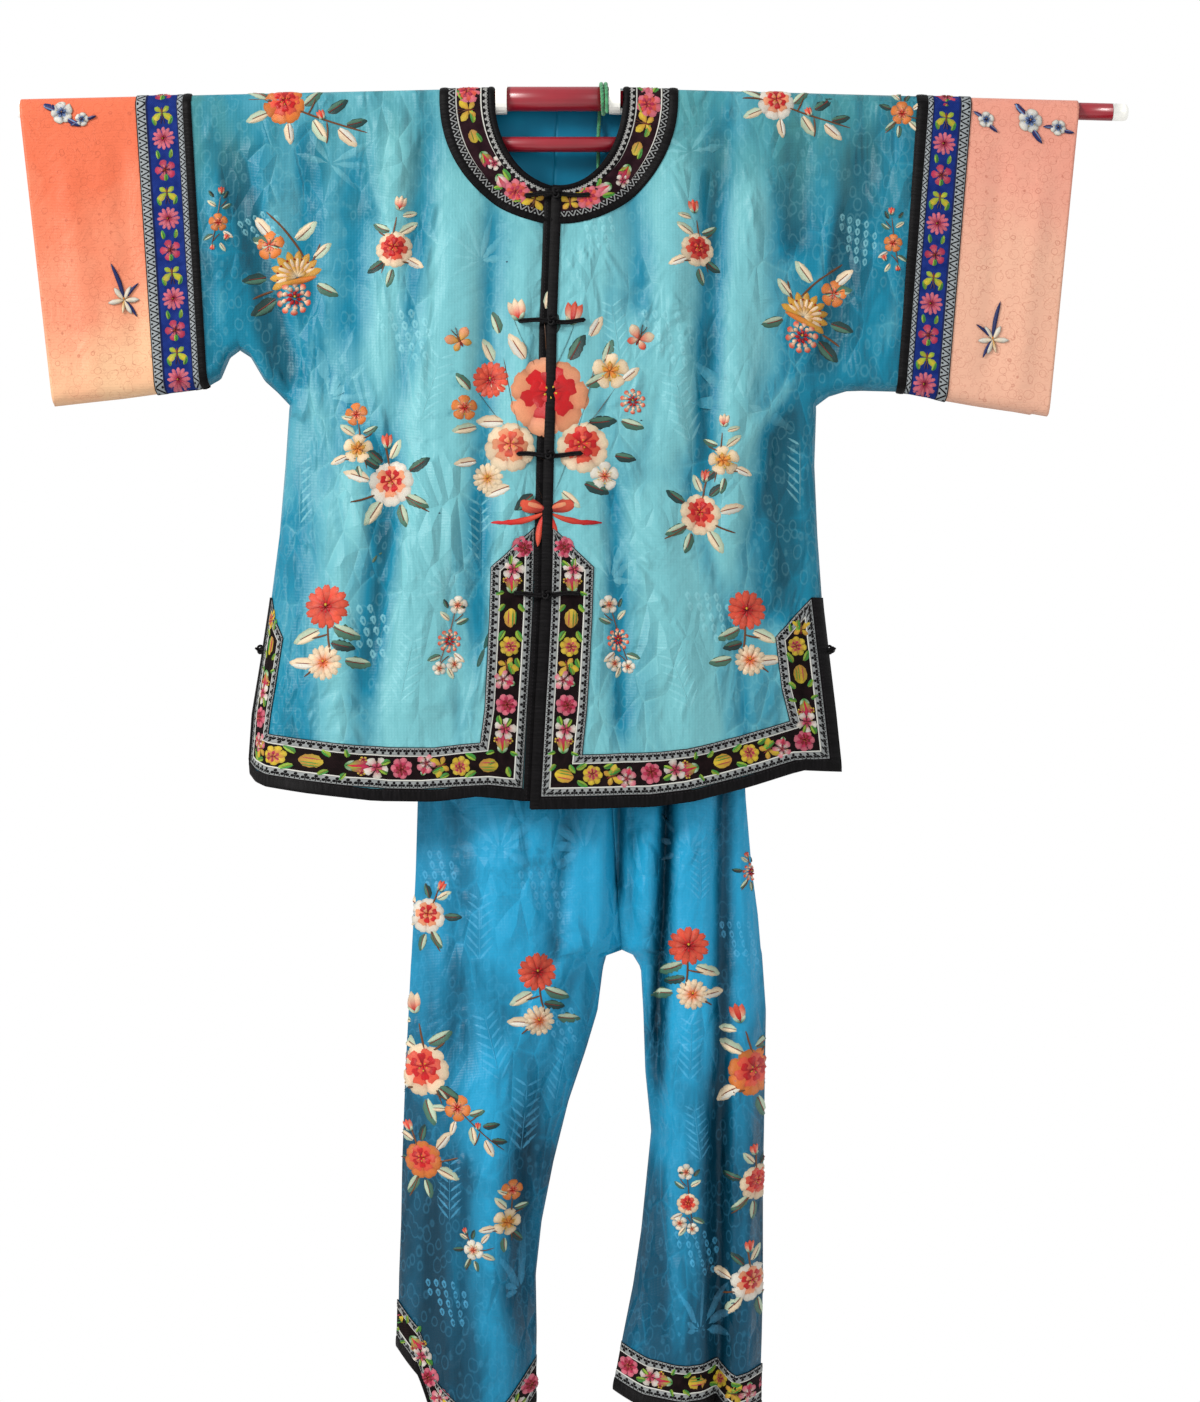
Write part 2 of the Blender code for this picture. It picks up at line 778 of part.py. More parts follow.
def build_hanger(where, cutters):
    """A thick tube with a ferrule at each end, two thin drooping rods, and a lower bar on two straps."""
    left_end = TUBE_HALF - 0.004
    cylinder("hanger_tube", (-TUBE_HALF + SEAM, 0, 0), (left_end - SEAM, 0, 0), TUBE_R, "rod_red", where, 24)
    for side, word, inner, end in ((-1, "right", -TUBE_HALF, ROD_RIGHT_END), (1, "left", left_end, ROD_LEFT_END)):
        outer = inner + side * FERRULE_LENGTH
        strap_in, strap_out = side * STRAP_INNER, side * (STRAP_INNER + STRAP_THICK)
        ferrule = cylinder(
            f"hanger_ferrule_{word}", (inner, 0, 0), (outer, 0, 0), FERRULE_R, "plastic_white", where, 24
        )
        low_x, high_x = sorted((inner + side * 0.003, strap_out))
        half = STRAP_WIDE / 2
        web = box(f"web_{word}", (low_x, -half, -0.0148), (high_x, half, -0.0102), "plastic_white", cutters)
        low_x, high_x = sorted((strap_in, strap_out))
        strap = box(
            f"strap_{word}", (low_x, -half, BAR_Z - 0.009), (high_x, half, -0.0105), "plastic_white", cutters
        )
        combine(ferrule, web, "UNION")
        combine(ferrule, strap, "UNION")
        start = outer + side * SEAM
        cap = end - side * CAP_LENGTH
        cylinder(
            f"hanger_rod_{word}",
            (start, 0, float(rod_height(start))),
            (cap - side * SEAM, 0, float(rod_height(cap))),
            ROD_R,
            "rod_red",
            where,
        )
        cylinder(
            f"hanger_cap_{word}",
            (cap, 0, float(rod_height(cap))),
            (end, 0, float(rod_height(end))),
            ROD_R,
            "plastic_white",
            where,
        )
    reach = STRAP_INNER - SEAM
    cylinder("hanger_bar", (-reach, 0, BAR_Z), (reach, 0, BAR_Z), BAR_R, "rod_red", where, 16)


def far_offsets(side):
    """Columns near the side: offsets from its edge above the underarm, and down at the slit."""
    if side < 0:
        return [(0.052, 0.0210), (0.0315, 0.0085), (0.011, 0.0020), (0.0, 0.0)]
    return [(0.052, 0.052), (0.0315, 0.0315), (0.011, 0.011), (0.0, 0.0)]


def trim_cells(gable, rows, columns, near):
    """Cells of the ribbon and of the binding: the hem and the slit, and the opening where near is set."""
    hem = rows - 4
    far = columns - 4
    ribbon = [(r, c) for r in (hem, hem + 1) for c in range(1 if near else 0, columns - 2)]
    ribbon += [(r, c) for r in range(gable + 2, hem) for c in (far, far + 1)]
    ribbon += [(gable, far + 1, 0), (gable + 1, far + 1), (gable + 1, far, 0)]
    binding = [(hem + 2, c) for c in range(columns - 1)]
    binding += [(r, columns - 2) for r in range(gable, hem + 2)]
    if near:
        ribbon += [(r, c) for r in range(gable + 2, hem) for c in (1, 2)]
        ribbon += [(gable, 1, 1), (gable + 1, 1), (gable + 1, 2, 1)]
        binding += [(r, 0) for r in range(ARC_ROWS, hem + 2)]
    return ribbon, binding


def build_body(side, back, where, cutters):
    """One quarter of the jacket's body, with the binding, ribbon and collar band sewn on it."""
    word = ("back_" if back else "front_") + ("right" if side < 0 else "left")
    edge = UNDERLAP_BINDING if side < 0 else BINDING
    if back:
        near, middle, rows = (0.0,), 6, [BODY_ROWS[i] for i in BACK_ROWS]
    else:
        near, middle, rows = (0.0, edge, edge + 0.020, edge + 0.041), MIDDLE, BODY_ROWS
    hem_steps = (RIBBON_INNER, (RIBBON_INNER + BINDING) / 2, BINDING, 0.0)
    grid = body_grid(side, back, near, far_offsets(side), middle, rows, hem_steps)
    gable = ARC_ROWS + rows.index((-0.431, -0.493))
    count, columns = grid.shape[:2]
    panel = cloth(f"body_{word}", grid, "silk_jacket", where)
    hole = prism(f"neck_{word}", neck_hole(0, back, side), -0.09, 0.09, cutters)
    combine(panel, hole, "DIFFERENCE")
    lift = WALL + GAP
    ribbon, binding = trim_cells(gable, count, columns, not back)
    cloth(f"ribbon_{word}", grid, "ribbon_dark", where, TRIM, lift, ribbon)
    edging = cloth(f"binding_{word}", grid, "binding_black", where, TRIM, lift, binding)
    if not back:
        inside = prism(f"below_{word}", neck_hole(COLLAR_WIDE + SEAM, False, side), -0.09, 0.0, cutters)
        combine(edging, inside, "DIFFERENCE")
    split = COLLAR_WIDE - COLLAR_BINDING
    upper = [(r, c) for r in range(ARC_ROWS + 6) for c in range(columns - 4)]
    for name, slot, inner, outer in (
        (f"collar_ribbon_{word}", "ribbon_dark", 0.0, split - SEAM / 2),
        (f"collar_binding_{word}", "binding_black", split + SEAM / 2, COLLAR_WIDE),
    ):
        band = cloth(name, grid, slot, where, TRIM, lift, upper)
        combine(band, prism(f"band_{name}", collar_band(inner, outer, back, side), -0.09, 0.09, cutters), "INTERSECT")


def build_sleeve(side, where):
    """A sleeve, its peach cuff, and the black band and blue ribbon sewn round the end of the sleeve."""
    word = "right" if side < 0 else "left"
    sleeve = sleeve_grid(SLEEVE_RIGHT if side < 0 else SLEEVE_LEFT)
    cuff = sleeve_grid(CUFF_RIGHT if side < 0 else CUFF_LEFT)
    cloth(f"sleeve_{word}", sleeve, "silk_jacket", where, ring=True)
    cloth(f"cuff_{word}", cuff, "silk_cuff", where, ring=True)
    lift = WALL + GAP
    rows, columns = sleeve.shape[:2]
    band = [(rows - 4, c) for c in range(columns)]
    ribbon = [(r, c) for r in (rows - 3, rows - 2) for c in range(columns)]
    cloth(f"sleeve_band_{word}", sleeve, "binding_black", where, TRIM, lift, band, ring=True)
    cloth(f"sleeve_ribbon_{word}", sleeve, "ribbon_blue", where, TRIM, lift, ribbon, ring=True)


def build_frogs(where):
    """Corded knot buttons: one at the neck, three down the opening and one at the head of each slit."""
    for word, z in FROG_HEIGHTS.items():
        centre = float(along(z, BODY_LINES, "centre"))
        points, radii = [], []
        for reach, radius in ((-1, 1), (-0.55, 1), (-0.22, 1.05), (-0.12, 2.3), (0, 2.7), (0.12, 2.3), (0.22, 1.05), (0.55, 1), (1, 1)):
            x = centre + UNDERLAP + 0.001 + reach * FROG_REACH
            radius *= FROG_R
            depth = max(float(jacket_depth(np.array(x + d), np.array(z), False)) for d in (-0.006, 0.0, 0.006))
            points.append((x, -(depth + WALL + GAP + TRIM + 0.0007 + radius), z + float(rod_height(x))))
            radii.append(radius)
        tube(f"frog_{word}", points, radii, "binding_black", where)
    for side, word in ((-1, "right"), (1, "left")):
        z = SLIT_KNOT_Z
        edge = float(along(z, BODY_LINES, word))
        x = edge + side * (WALL + GAP + TRIM + (0.0050 if side < 0 else 0.0039))
        points = [(x - side * 0.001, y, z + float(rod_height(x))) for y in (-0.017, -0.007, -0.003, 0, 0.003, 0.007, 0.017)]
        tube(f"frog_slit_{word}", points, [FROG_R * r for r in (1, 1, 1.8, 2.1, 1.8, 1, 1)], "binding_black", where)


def waist_ring(z, low, high, depth, count=24):
    """A flat ring of points at one height of the gathered waist."""
    angles = np.linspace(0, 2 * math.pi, count, endpoint=False)
    x = (low + high) / 2 + (high - low) / 2 * np.cos(angles)
    gather = 1 + 0.10 * np.sin(angles * count / 2 + 0.6) * (np.abs(np.sin(angles)) > 0.2)
    y = -depth * np.sign(np.sin(angles)) * np.abs(np.sin(angles)) ** 0.7 * gather
    return np.stack([x, y, 0 * x + z], axis=-1)


def build_trousers(where):
    """Two legs seamed up the middle, a plain gathered waistband, and the ribbon and binding at each hem."""
    for word in ("right", "left"):
        grid = leg_grid(word)
        rows, columns = grid.shape[:2]
        cloth(f"trouser_leg_{word}", grid, "silk_trousers", where)
        lift = WALL + GAP
        ribbon = [(rows - 3, c) for c in range(columns - 1)]
        binding = [(rows - 2, c) for c in range(columns - 1)]
        cloth(f"leg_ribbon_{word}", grid, "ribbon_dark", where, TRIM, lift, ribbon)
        cloth(f"leg_binding_{word}", grid, "binding_black", where, TRIM, lift, binding)
    rings = [
        waist_ring(WAIST_TOP, -0.095, 0.150, 0.013),
        waist_ring(WAIST_TOP - 0.030, -0.100, 0.152, 0.015),
        waist_ring(-0.430, -0.116, 0.160, 0.017),
        waist_ring(WAIST_BOTTOM, -0.126, 0.168, 0.018),
    ]
    cloth("waistband", np.array(rings), "waist_cotton", where, ring=True)


def build_drawstring(where):
    """The green cord: knotted round the thick tube, down behind the bar and round the top of the trousers."""
    x = 0.040
    turn = TUBE_R + 0.0006 + BELT_R
    points = [(x + 0.0070, -turn, -0.018)]
    for step in range(19):
        angle = math.radians(step * 30)
        points.append((x + 0.0066 * (1 - step / 18), -turn * math.cos(angle), turn * math.sin(angle)))
    points += [
        (x - 0.0010, 0.0125, -0.020),
        (x - 0.0015, 0.0112, -0.034),
        (x - 0.0018, 0.0112, -0.060),
        (x - 0.0020, 0.0090, -0.120),
        (x - 0.0020, 0.0085, -0.220),
        (x - 0.0020, 0.0095, -0.310),
        (x - 0.0020, 0.0108, WAIST_TOP - 0.001),
        (x - 0.0020, 0.0127, WAIST_TOP - 0.030),
    ]
    tube("drawstring", points, [BELT_R] * len(points), "cord_green", where)


def main():
    clear_scene()
    where = collection("jacket_and_trousers")
    cutters = collection("cutters")
    build_hanger(where, cutters)
    for side in (-1, 1):
        for back in (False, True):
            build_body(side, back, where, cutters)
        build_sleeve(side, where)
    build_frogs(where)
    build_trousers(where)
    build_drawstring(where)


main()
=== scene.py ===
"""A silk jacket and trousers, embroidered and edged with flower ribbon, on a telescopic robe hanger."""

import math

import bpy
import numpy as np
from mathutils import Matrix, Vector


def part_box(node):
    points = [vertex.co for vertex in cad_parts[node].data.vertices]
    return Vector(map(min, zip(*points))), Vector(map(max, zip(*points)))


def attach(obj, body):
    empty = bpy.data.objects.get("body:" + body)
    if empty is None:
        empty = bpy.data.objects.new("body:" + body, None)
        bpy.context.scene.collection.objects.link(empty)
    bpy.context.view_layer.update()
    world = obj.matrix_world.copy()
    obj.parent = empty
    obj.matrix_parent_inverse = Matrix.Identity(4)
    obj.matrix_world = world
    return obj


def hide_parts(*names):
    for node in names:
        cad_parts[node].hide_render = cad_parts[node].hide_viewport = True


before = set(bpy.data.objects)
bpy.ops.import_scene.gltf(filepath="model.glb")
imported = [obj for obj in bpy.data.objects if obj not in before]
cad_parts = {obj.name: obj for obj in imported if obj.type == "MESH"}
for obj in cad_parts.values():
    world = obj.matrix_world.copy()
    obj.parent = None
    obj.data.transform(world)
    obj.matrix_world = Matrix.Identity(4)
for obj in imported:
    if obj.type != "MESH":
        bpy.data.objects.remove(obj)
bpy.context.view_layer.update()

# The camera looks straight at the garment from the front, level with the jacket's hem. The light is a
# bright, soft one from the upper left with a weaker one from the right, in a white room with a pale floor.
VIEW_X, VIEW_Z, VIEW_AWAY = 0.040, -0.602, 2.40
FRAME_HEIGHT = 1.402


def room_material(name, colour):
    made = bpy.data.materials.new(name)
    made.use_nodes = True
    shader = made.node_tree.nodes["Principled BSDF"]
    shader.inputs["Base Color"].default_value = (*colour, 1)
    shader.inputs["Roughness"].default_value = 0.9
    return made


def area_light(name, at, size, power, colour):
    """A square soft light aimed at the middle of the garment."""
    data = bpy.data.lights.new(name, "AREA")
    data.size, data.energy, data.color = size, power, colour
    lamp = bpy.data.objects.new(name, data)
    lamp.location = at
    aim = np.array([0.0, 0.0, -0.55]) - np.array(at)
    lamp.rotation_euler = (math.atan2(np.hypot(aim[0], aim[1]), -aim[2]), 0, math.atan2(aim[1], aim[0]) - math.pi / 2)
    bpy.context.scene.collection.objects.link(lamp)


camera = bpy.data.cameras.new("camera")
camera.sensor_width = 36
camera.lens = 36 * VIEW_AWAY / FRAME_HEIGHT
viewer = bpy.data.objects.new("camera", camera)
viewer.location = (VIEW_X, -VIEW_AWAY, VIEW_Z)
viewer.rotation_euler = (math.pi / 2, 0, 0)
bpy.context.scene.collection.objects.link(viewer)
bpy.context.scene.camera = viewer
bpy.context.scene.view_settings.view_transform = "Standard"
sky = bpy.data.worlds.new("room")
sky.use_nodes = True
sky.node_tree.nodes["Background"].inputs["Color"].default_value = (1, 1, 1, 1)
sky.node_tree.nodes["Background"].inputs["Strength"].default_value = 1.0
bpy.context.scene.world = sky
area_light("key", (-2.5, -1.7, 1.2), 0.9, 150, (1.0, 0.98, 0.95))
area_light("fill", (2.4, -2.2, 0.2), 1.6, 18, (0.95, 0.98, 1.0))
FLOOR_Z = -1.75
corners = [(-2.5, -2.5, FLOOR_Z), (2.5, -2.5, FLOOR_Z), (2.5, 0.6, FLOOR_Z), (-2.5, 0.6, FLOOR_Z)]
floor_mesh = bpy.data.meshes.new("floor")
floor_mesh.from_pydata(corners, [], [(0, 1, 2, 3)])
floor_mesh.materials.append(room_material("floor", (0.85, 0.85, 0.84)))
floor = bpy.data.objects.new("floor", floor_mesh)
bpy.context.scene.collection.objects.link(floor)

# Silk satin with a damask figure. The jacket is turquoise, paler down the front and bluer at the sides;
# the trousers are a deeper blue. The folds below are the large soft ones that the cloth hangs in.
WALL, CLOTH = 0.0015, 0.0011
WRAP = 0.0089
ARC = WRAP * math.pi / 2
UNDERLAP = 0.004
UNDERARM = -0.301
TUBE_ROOM = 0.0072
SIDES = ((-1, "right"), (1, "left"))
FACES = ((False, "front"), (True, "back"))


def millimetres(*rows):
    return np.array(rows, float) / 1000


# The jacket's lines: height, opening, right side, left side. This table and those below are in millimetres.
LINES = millimetres(
    (-710, -28, -312, 285), (-610, -23, -305, 274), (-561, -20, -297, 268), (-501, -17, -288, 261),
    (-431, -16, -279, 256), (-361, -14.5, -273, 253), (-301, -13, -269, 255), (-228, -12, -263.4, 250.5),
    (-89, -7, -252.7, 242), (0, -3, -245.8, 236.6),
)
# How far the cloth swells from the middle: height, front, back.
SWELL = millimetres(
    (-710, 52, 46), (-450, 42, 36), (-301, 30, 26), (-200, 18, 18), (-120, 10, 10), (-30, 1, 1), (0, 0, 0),
)
# Sleeves: place at the rod, place and height at the lower edge, to the end of each cuff.
SLEEVES = {
    -1: millimetres(
        (-245.8, -269, -301), (-266, -281, -288), (-284, -294, -276), (-300, -308, -252),
        (-318, -320, -244), (-336, -331, -252), (-352, -340, -273), (-370, -353, -280), (-381, -364, -282),
        (-402, -384, -284), (-421, -402, -286), (-460, -437, -290), (-500, -472, -293), (-538, -505, -296),
    ),
    1: millimetres(
        (236.6, 255, -301), (252, 268, -291), (272, 286, -285), (300, 302, -284), (330, 322, -284),
        (360, 338, -284), (372, 349, -285), (390, 367, -288), (409, 385, -292), (445, 419, -297),
        (481, 453, -301), (517, 487, -306),
    ),
}
# Folds: place and height of each end, half width, and how far it stands out. The large ones come first.
FRONT_FOLDS = millimetres(
    (-330, -45, -268, -285, 16, -7), (-252, -30, -248, -220, 14, -4), (-200, -50, -205, -240, 18, -4),
    (-160, -30, -160, -340, 22, 6), (-130, -10, -190, -600, 17, -7), (-100, -110, -150, -640, 24, 7),
    (-66, -100, -80, -560, 14, -6), (-210, -380, -215, -660, 22, 6), (70, -60, 78, -220, 16, -5),
    (115, -60, 112, -350, 18, 6), (160, -10, 140, -400, 15, -8), (190, -70, 165, -480, 20, 6),
    (234, -20, 235, -150, 14, -6), (305, -30, 262, -270, 18, -7), (220, -320, 214, -520, 20, -7),
    (52, -380, 62, -640, 13, -7), (95, -400, 135, -640, 22, 8), (-30, -150, -48, -430, 8, 2),
    (-88, -200, -110, -480, 7, 1.8), (-120, -130, -128, -360, 6, -1.6), (-185, -100, -150, -300, 7, -2),
    (-240, -255, -150, -400, 8, -2.2), (-250, -285, -180, -470, 8, 2.4), (-225, -330, -195, -560, 7, -1.6),
    (-110, -440, -95, -640, 7, -1.8), (-55, -400, -70, -620, 6, 1.4), (-290, -90, -262, -240, 8, 2.2),
    (-350, -60, -335, -230, 9, 2), (26, -150, 22, -440, 7, 1.8), (52, -170, 40, -360, 6, -1.5),
    (100, -300, 180, -560, 8, -2), (240, -270, 140, -400, 8, 2.6), (235, -300, 180, -460, 8, -2.2),
    (205, -430, 235, -640, 8, 2), (130, -180, 85, -360, 7, -1.6), (175, -500, 185, -650, 7, -1.6),
    (275, -80, 250, -250, 8, 2.2), (340, -50, 330, -240, 9, 2), (-440, -30, -420, -250, 12, -2),
    (-490, -60, -462, -280, 13, 2), (440, -40, 425, -280, 12, -2.2), (480, -70, 455, -290, 11, 2.2),
)
BACK_FOLDS = millimetres(
    (-300, -45, -262, -285, 18, -6), (-190, -40, -200, -640, 20, -6), (-120, -60, -130, -640, 22, 7),
    (-55, -30, -60, -600, 18, -6), (60, -40, 70, -620, 20, -7), (125, -50, 140, -640, 22, 7),
    (195, -40, 205, -620, 18, -6), (300, -45, 255, -280, 18, -6), (-150, -200, -165, -600, 8, 2),
    (-90, -300, -85, -640, 7, -1.8), (-20, -120, -30, -520, 8, 2), (30, -250, 28, -640, 7, -1.6),
    (95, -220, 110, -640, 7, -1.8), (165, -150, 180, -560, 8, -2), (240, -280, 150, -430, 9, 2.6),
    (235, -310, 180, -500, 8, -2), (-240, -280, -150, -430, 9, 2.6), (-235, -320, -185, -500, 8, -2),
    (-345, -60, -332, -230, 9, 2), (340, -60, 330, -230, 9, 2), (-450, -40, -430, -260, 12, -2),
    (450, -40, 430, -260, 12, -2),
)


def smooth(t):
    """0 below 0, 1 above 1, and an S-curve between: t squared times 3 - 2t."""
    t = np.clip(t, 0, 1)
    return t * t * (3 - 2 * t)


def read(at, rows, column):
    """A table's column, read between its rows, which run up from the lowest."""
    return np.interp(at, rows[:, 0], rows[:, column])


def folds_at(x, z, folds):
    """The sum of soft ridges: each a bell curve across its slanting line, faded at both ends."""
    total = 0 * x * z
    for x0, z0, x1, z1, wide, out in folds:
        t = (z - z0) / (z1 - z0)
        line = x0 + (x1 - x0) * np.clip(t, 0, 1)
        ends = smooth((t + 0.12) / 0.24) * smooth((1.12 - t) / 0.24)
        total = total + out * ends * np.exp(-(((x - line) / wide) ** 2))
    return total


def rod_height(x):
    """The rods droop a little to each side of the thick tube."""
    return -0.0230 * np.maximum(-x - 0.064, 0) - 0.0270 * np.maximum(x - 0.064, 0)


def rounded(edge, radius):
    """0 on an edge, rising round a quarter circle to 1 at the radius."""
    t = 1 - np.clip(edge / radius, 0, 1)
    return np.sqrt(np.maximum(1 - t * t, 0))


def sleeve_low(x):
    """Height of the sleeve's lower edge under a place."""
    right = np.interp(-x, -SLEEVES[-1][:, 1], SLEEVES[-1][:, 2])
    return np.where(x < 0, right, np.interp(x, SLEEVES[1][:, 1], SLEEVES[1][:, 2]))


def jacket_depth(x, z, back):
    """The cloth's distance from the middle plane: a swell across the body plus its folds, closed at each edge."""
    side = np.where(x < 0, -read(z, LINES, 2), read(z, LINES, 3))
    share = np.clip(np.abs(x) / side, 0, 1)
    power = np.where(x < 0, 2.2 + 4.0 * smooth((-z - 0.30) / 0.25), 2.2)
    swell = np.where(back, read(z, SWELL, 2), read(z, SWELL, 1))
    folds = np.where(back, folds_at(x, z, BACK_FOLDS), folds_at(x, z, FRONT_FOLDS)) * smooth(-z / 0.06)
    bulge = TUBE_ROOM * smooth((0.095 - np.abs(x)) / 0.028) * smooth((z + 0.16) / 0.12) * back
    edge = np.hypot(np.maximum(side - np.abs(x), 0), np.maximum(z - UNDERARM, 0))
    closing = rounded(edge, 0.012 + 0.004 * smooth((-z - 0.30) / 0.2))
    body = np.maximum(WRAP + swell * (1 - share**power) + bulge + folds, 0.004) * closing
    body = body + 0.006 * smooth((-z - 0.50) / 0.16) * (1 - closing)
    past = np.abs(x) - side
    sleeve = np.maximum(WRAP + 0.002 * smooth(past / 0.03) + folds, 0.003) * rounded(z - sleeve_low(x), 0.012)
    return np.where((past > 0) & (z > UNDERARM - 0.002), sleeve, body)


def jacket(x, w, lapped=False):
    """The jacket's inner face. w is the height from the rod, and past the fold over it runs on down the back.

    Below the rod a point stands off the middle plane by the depth; over the rod it turns through a
    quarter circle from the front and another to the back. A lapped front goes 5.5 mm further in at its
    opening edge, where the other front lies on it.
    """
    x, w = np.broadcast_arrays(x, w)
    back = w > ARC
    z = np.where(back, 2 * ARC - w, w)
    low = np.minimum(z, 0)
    depth = jacket_depth(x, low, back)
    if lapped:
        inward = read(low, LINES, 1) + UNDERLAP - x
        depth = depth - np.where(back, 0, 0.0055 * smooth(1 - inward / 0.030) * smooth((-z - 0.02) / 0.05))
    bulge = TUBE_ROOM * smooth((0.095 - np.abs(x)) / 0.028) * back
    angle = np.maximum(z, 0) / WRAP
    depth = np.where(z > 0, (WRAP + bulge) * np.cos(angle), depth)
    height = rod_height(x) + np.where(z > 0, WRAP * np.sin(angle), z)
    return np.stack([x, np.where(back, depth, -depth), height], -1)


def jacket_lapped(x, w):
    """The jacket with its right front, which goes in under the left one."""
    return jacket(x, w, True)


def lift_off(surface, x, w, lift):
    """Points at a height above a surface's outer face, and their normals, from its slopes in x and w."""
    step = 0.0008
    across = surface(x + step, w) - surface(x - step, w)
    along = surface(x, w + step) - surface(x, w - step)
    normal = np.cross(across, along)
    normal /= np.maximum(np.linalg.norm(normal, axis=-1, keepdims=True), 1e-12)
    return surface(x, w) + normal * (WALL + np.asarray(lift) + 0 * x)[..., None], normal


class Value:
    """A number or colour that varies over a surface. Arithmetic on it adds Math nodes."""

    def __init__(self, tree, socket=None):
        self.tree, self.socket = tree, socket

    def node(self, kind, settings=None, out=0, **inputs):
        """Adds a node, its settings first, then its inputs by number or name, and gives one of its outputs."""
        made = self.tree.nodes.new(kind)
        for key, value in (settings or {}).items():
            setattr(made, key, value)
        for key, value in inputs.items():
            socket = made.inputs[int(key[1:]) if key[1:].isdigit() else key]
            if isinstance(value, Value):
                self.tree.links.new(value.socket, socket)
            else:
                socket.default_value = value
        return Value(self.tree, made.outputs[out])

    def ramp(self, *stops):
        """A colour ramp through stops of place and colour."""
        ramp = self.tree.nodes.new("ShaderNodeValToRGB")
        for place, colour in stops[1:-1]:
            ramp.color_ramp.elements.new(place).color = (*colour, 1)
        ends = (ramp.color_ramp.elements[0], ramp.color_ramp.elements[-1])
        for element, (place, colour) in zip(ends, (stops[0], stops[-1])):
            element.position, element.color = place, (*colour, 1)
        self.tree.links.new(self.socket, ramp.inputs[0])
        return Value(self.tree, ramp.outputs[0])

    def maths(self, operation, *others):
        return self.node("ShaderNodeMath", {"operation": operation}, **{f"i{i}": v for i, v in enumerate(others)})

    def __add__(self, other):
        return self.maths("ADD", self, other)

    def __mul__(self, other):
        return self.maths("MULTIPLY", self, other)

    def __sub__(self, other):
        return self.maths("SUBTRACT", self, other)

    def __rsub__(self, other):
        return self.maths("SUBTRACT", other, self)

    def __truediv__(self, other):
        return self.maths("DIVIDE", self, other)

    __radd__, __rmul__ = __add__, __mul__

    def abs(self):
        return self.maths("ABSOLUTE", self)

    def sine(self):
        return self.maths("SINE", self)

    def above(self, low, high):
        """0 below low and 1 above high, soft between."""
        return self.node("ShaderNodeMapRange", {"interpolation_type": "SMOOTHSTEP"}, i0=self, i1=low, i2=high)

    def noise(self, scale, detail, rough=0.5, bend=0.0):
        """Cloudy noise at this place."""
        return self.node("ShaderNodeTexNoise", i0=self, i2=scale, i3=detail, i4=rough, i8=bend)

    def cells(self, scale, feature="F1", out=0):
        """The distance to the nearest of random cell centres at this place, or to a cell's edge."""
        return self.node("ShaderNodeTexVoronoi", {"feature": feature}, out, i0=self, i2=scale)

    def stretched(self, scale, turn=(0.0, 0.0, 0.0)):
        """This place, turned and multiplied."""
        return self.node("ShaderNodeMapping", i0=self, i2=turn, i3=scale)

    def mix(self, low, high):
        """The colour low where this is 0 and high where it is 1."""
        low, high = (v if isinstance(v, Value) else (*v, 1) for v in (low, high))
        return self.node("ShaderNodeMix", {"data_type": "RGBA"}, out=2, i0=self, i6=low, i7=high)


def new_material(name, rough, sheen=0.0, specular=0.5, coat=0.0):
    """A Principled material with its constants set: gives it, its shader and a starting value."""
    made = bpy.data.materials.new(name)
    made.use_nodes = True
    shader = made.node_tree.nodes["Principled BSDF"]
    shader.inputs["Roughness"].default_value = rough
    shader.inputs["Sheen Weight"].default_value = sheen
    shader.inputs["Specular IOR Level"].default_value = specular
    shader.inputs["Coat Weight"].default_value = coat
    return made, shader, Value(made.node_tree)


def finish_with(material, shader, colour, bump=None, strength=0.2, distance=0.001, rough=None):
    """Links a colour, a bump height and a roughness to a shader."""
    start = Value(material.node_tree)
    start.tree.links.new(colour.socket, shader.inputs["Base Color"])
    if rough is not None:
        start.tree.links.new(rough.socket, shader.inputs["Roughness"])
    if bump is not None:
        normal = start.node("ShaderNodeBump", Strength=strength, Distance=distance, Height=bump)
        start.tree.links.new(normal.socket, shader.inputs["Normal"])
    return material


def place_of(start):
    """Object coordinates, and their x and z."""
    place = start.node("ShaderNodeTexCoord", out=3)
    parts = start.node("ShaderNodeSeparateXYZ", i0=place)
    return place, parts, Value(parts.tree, parts.socket.node.outputs[2])


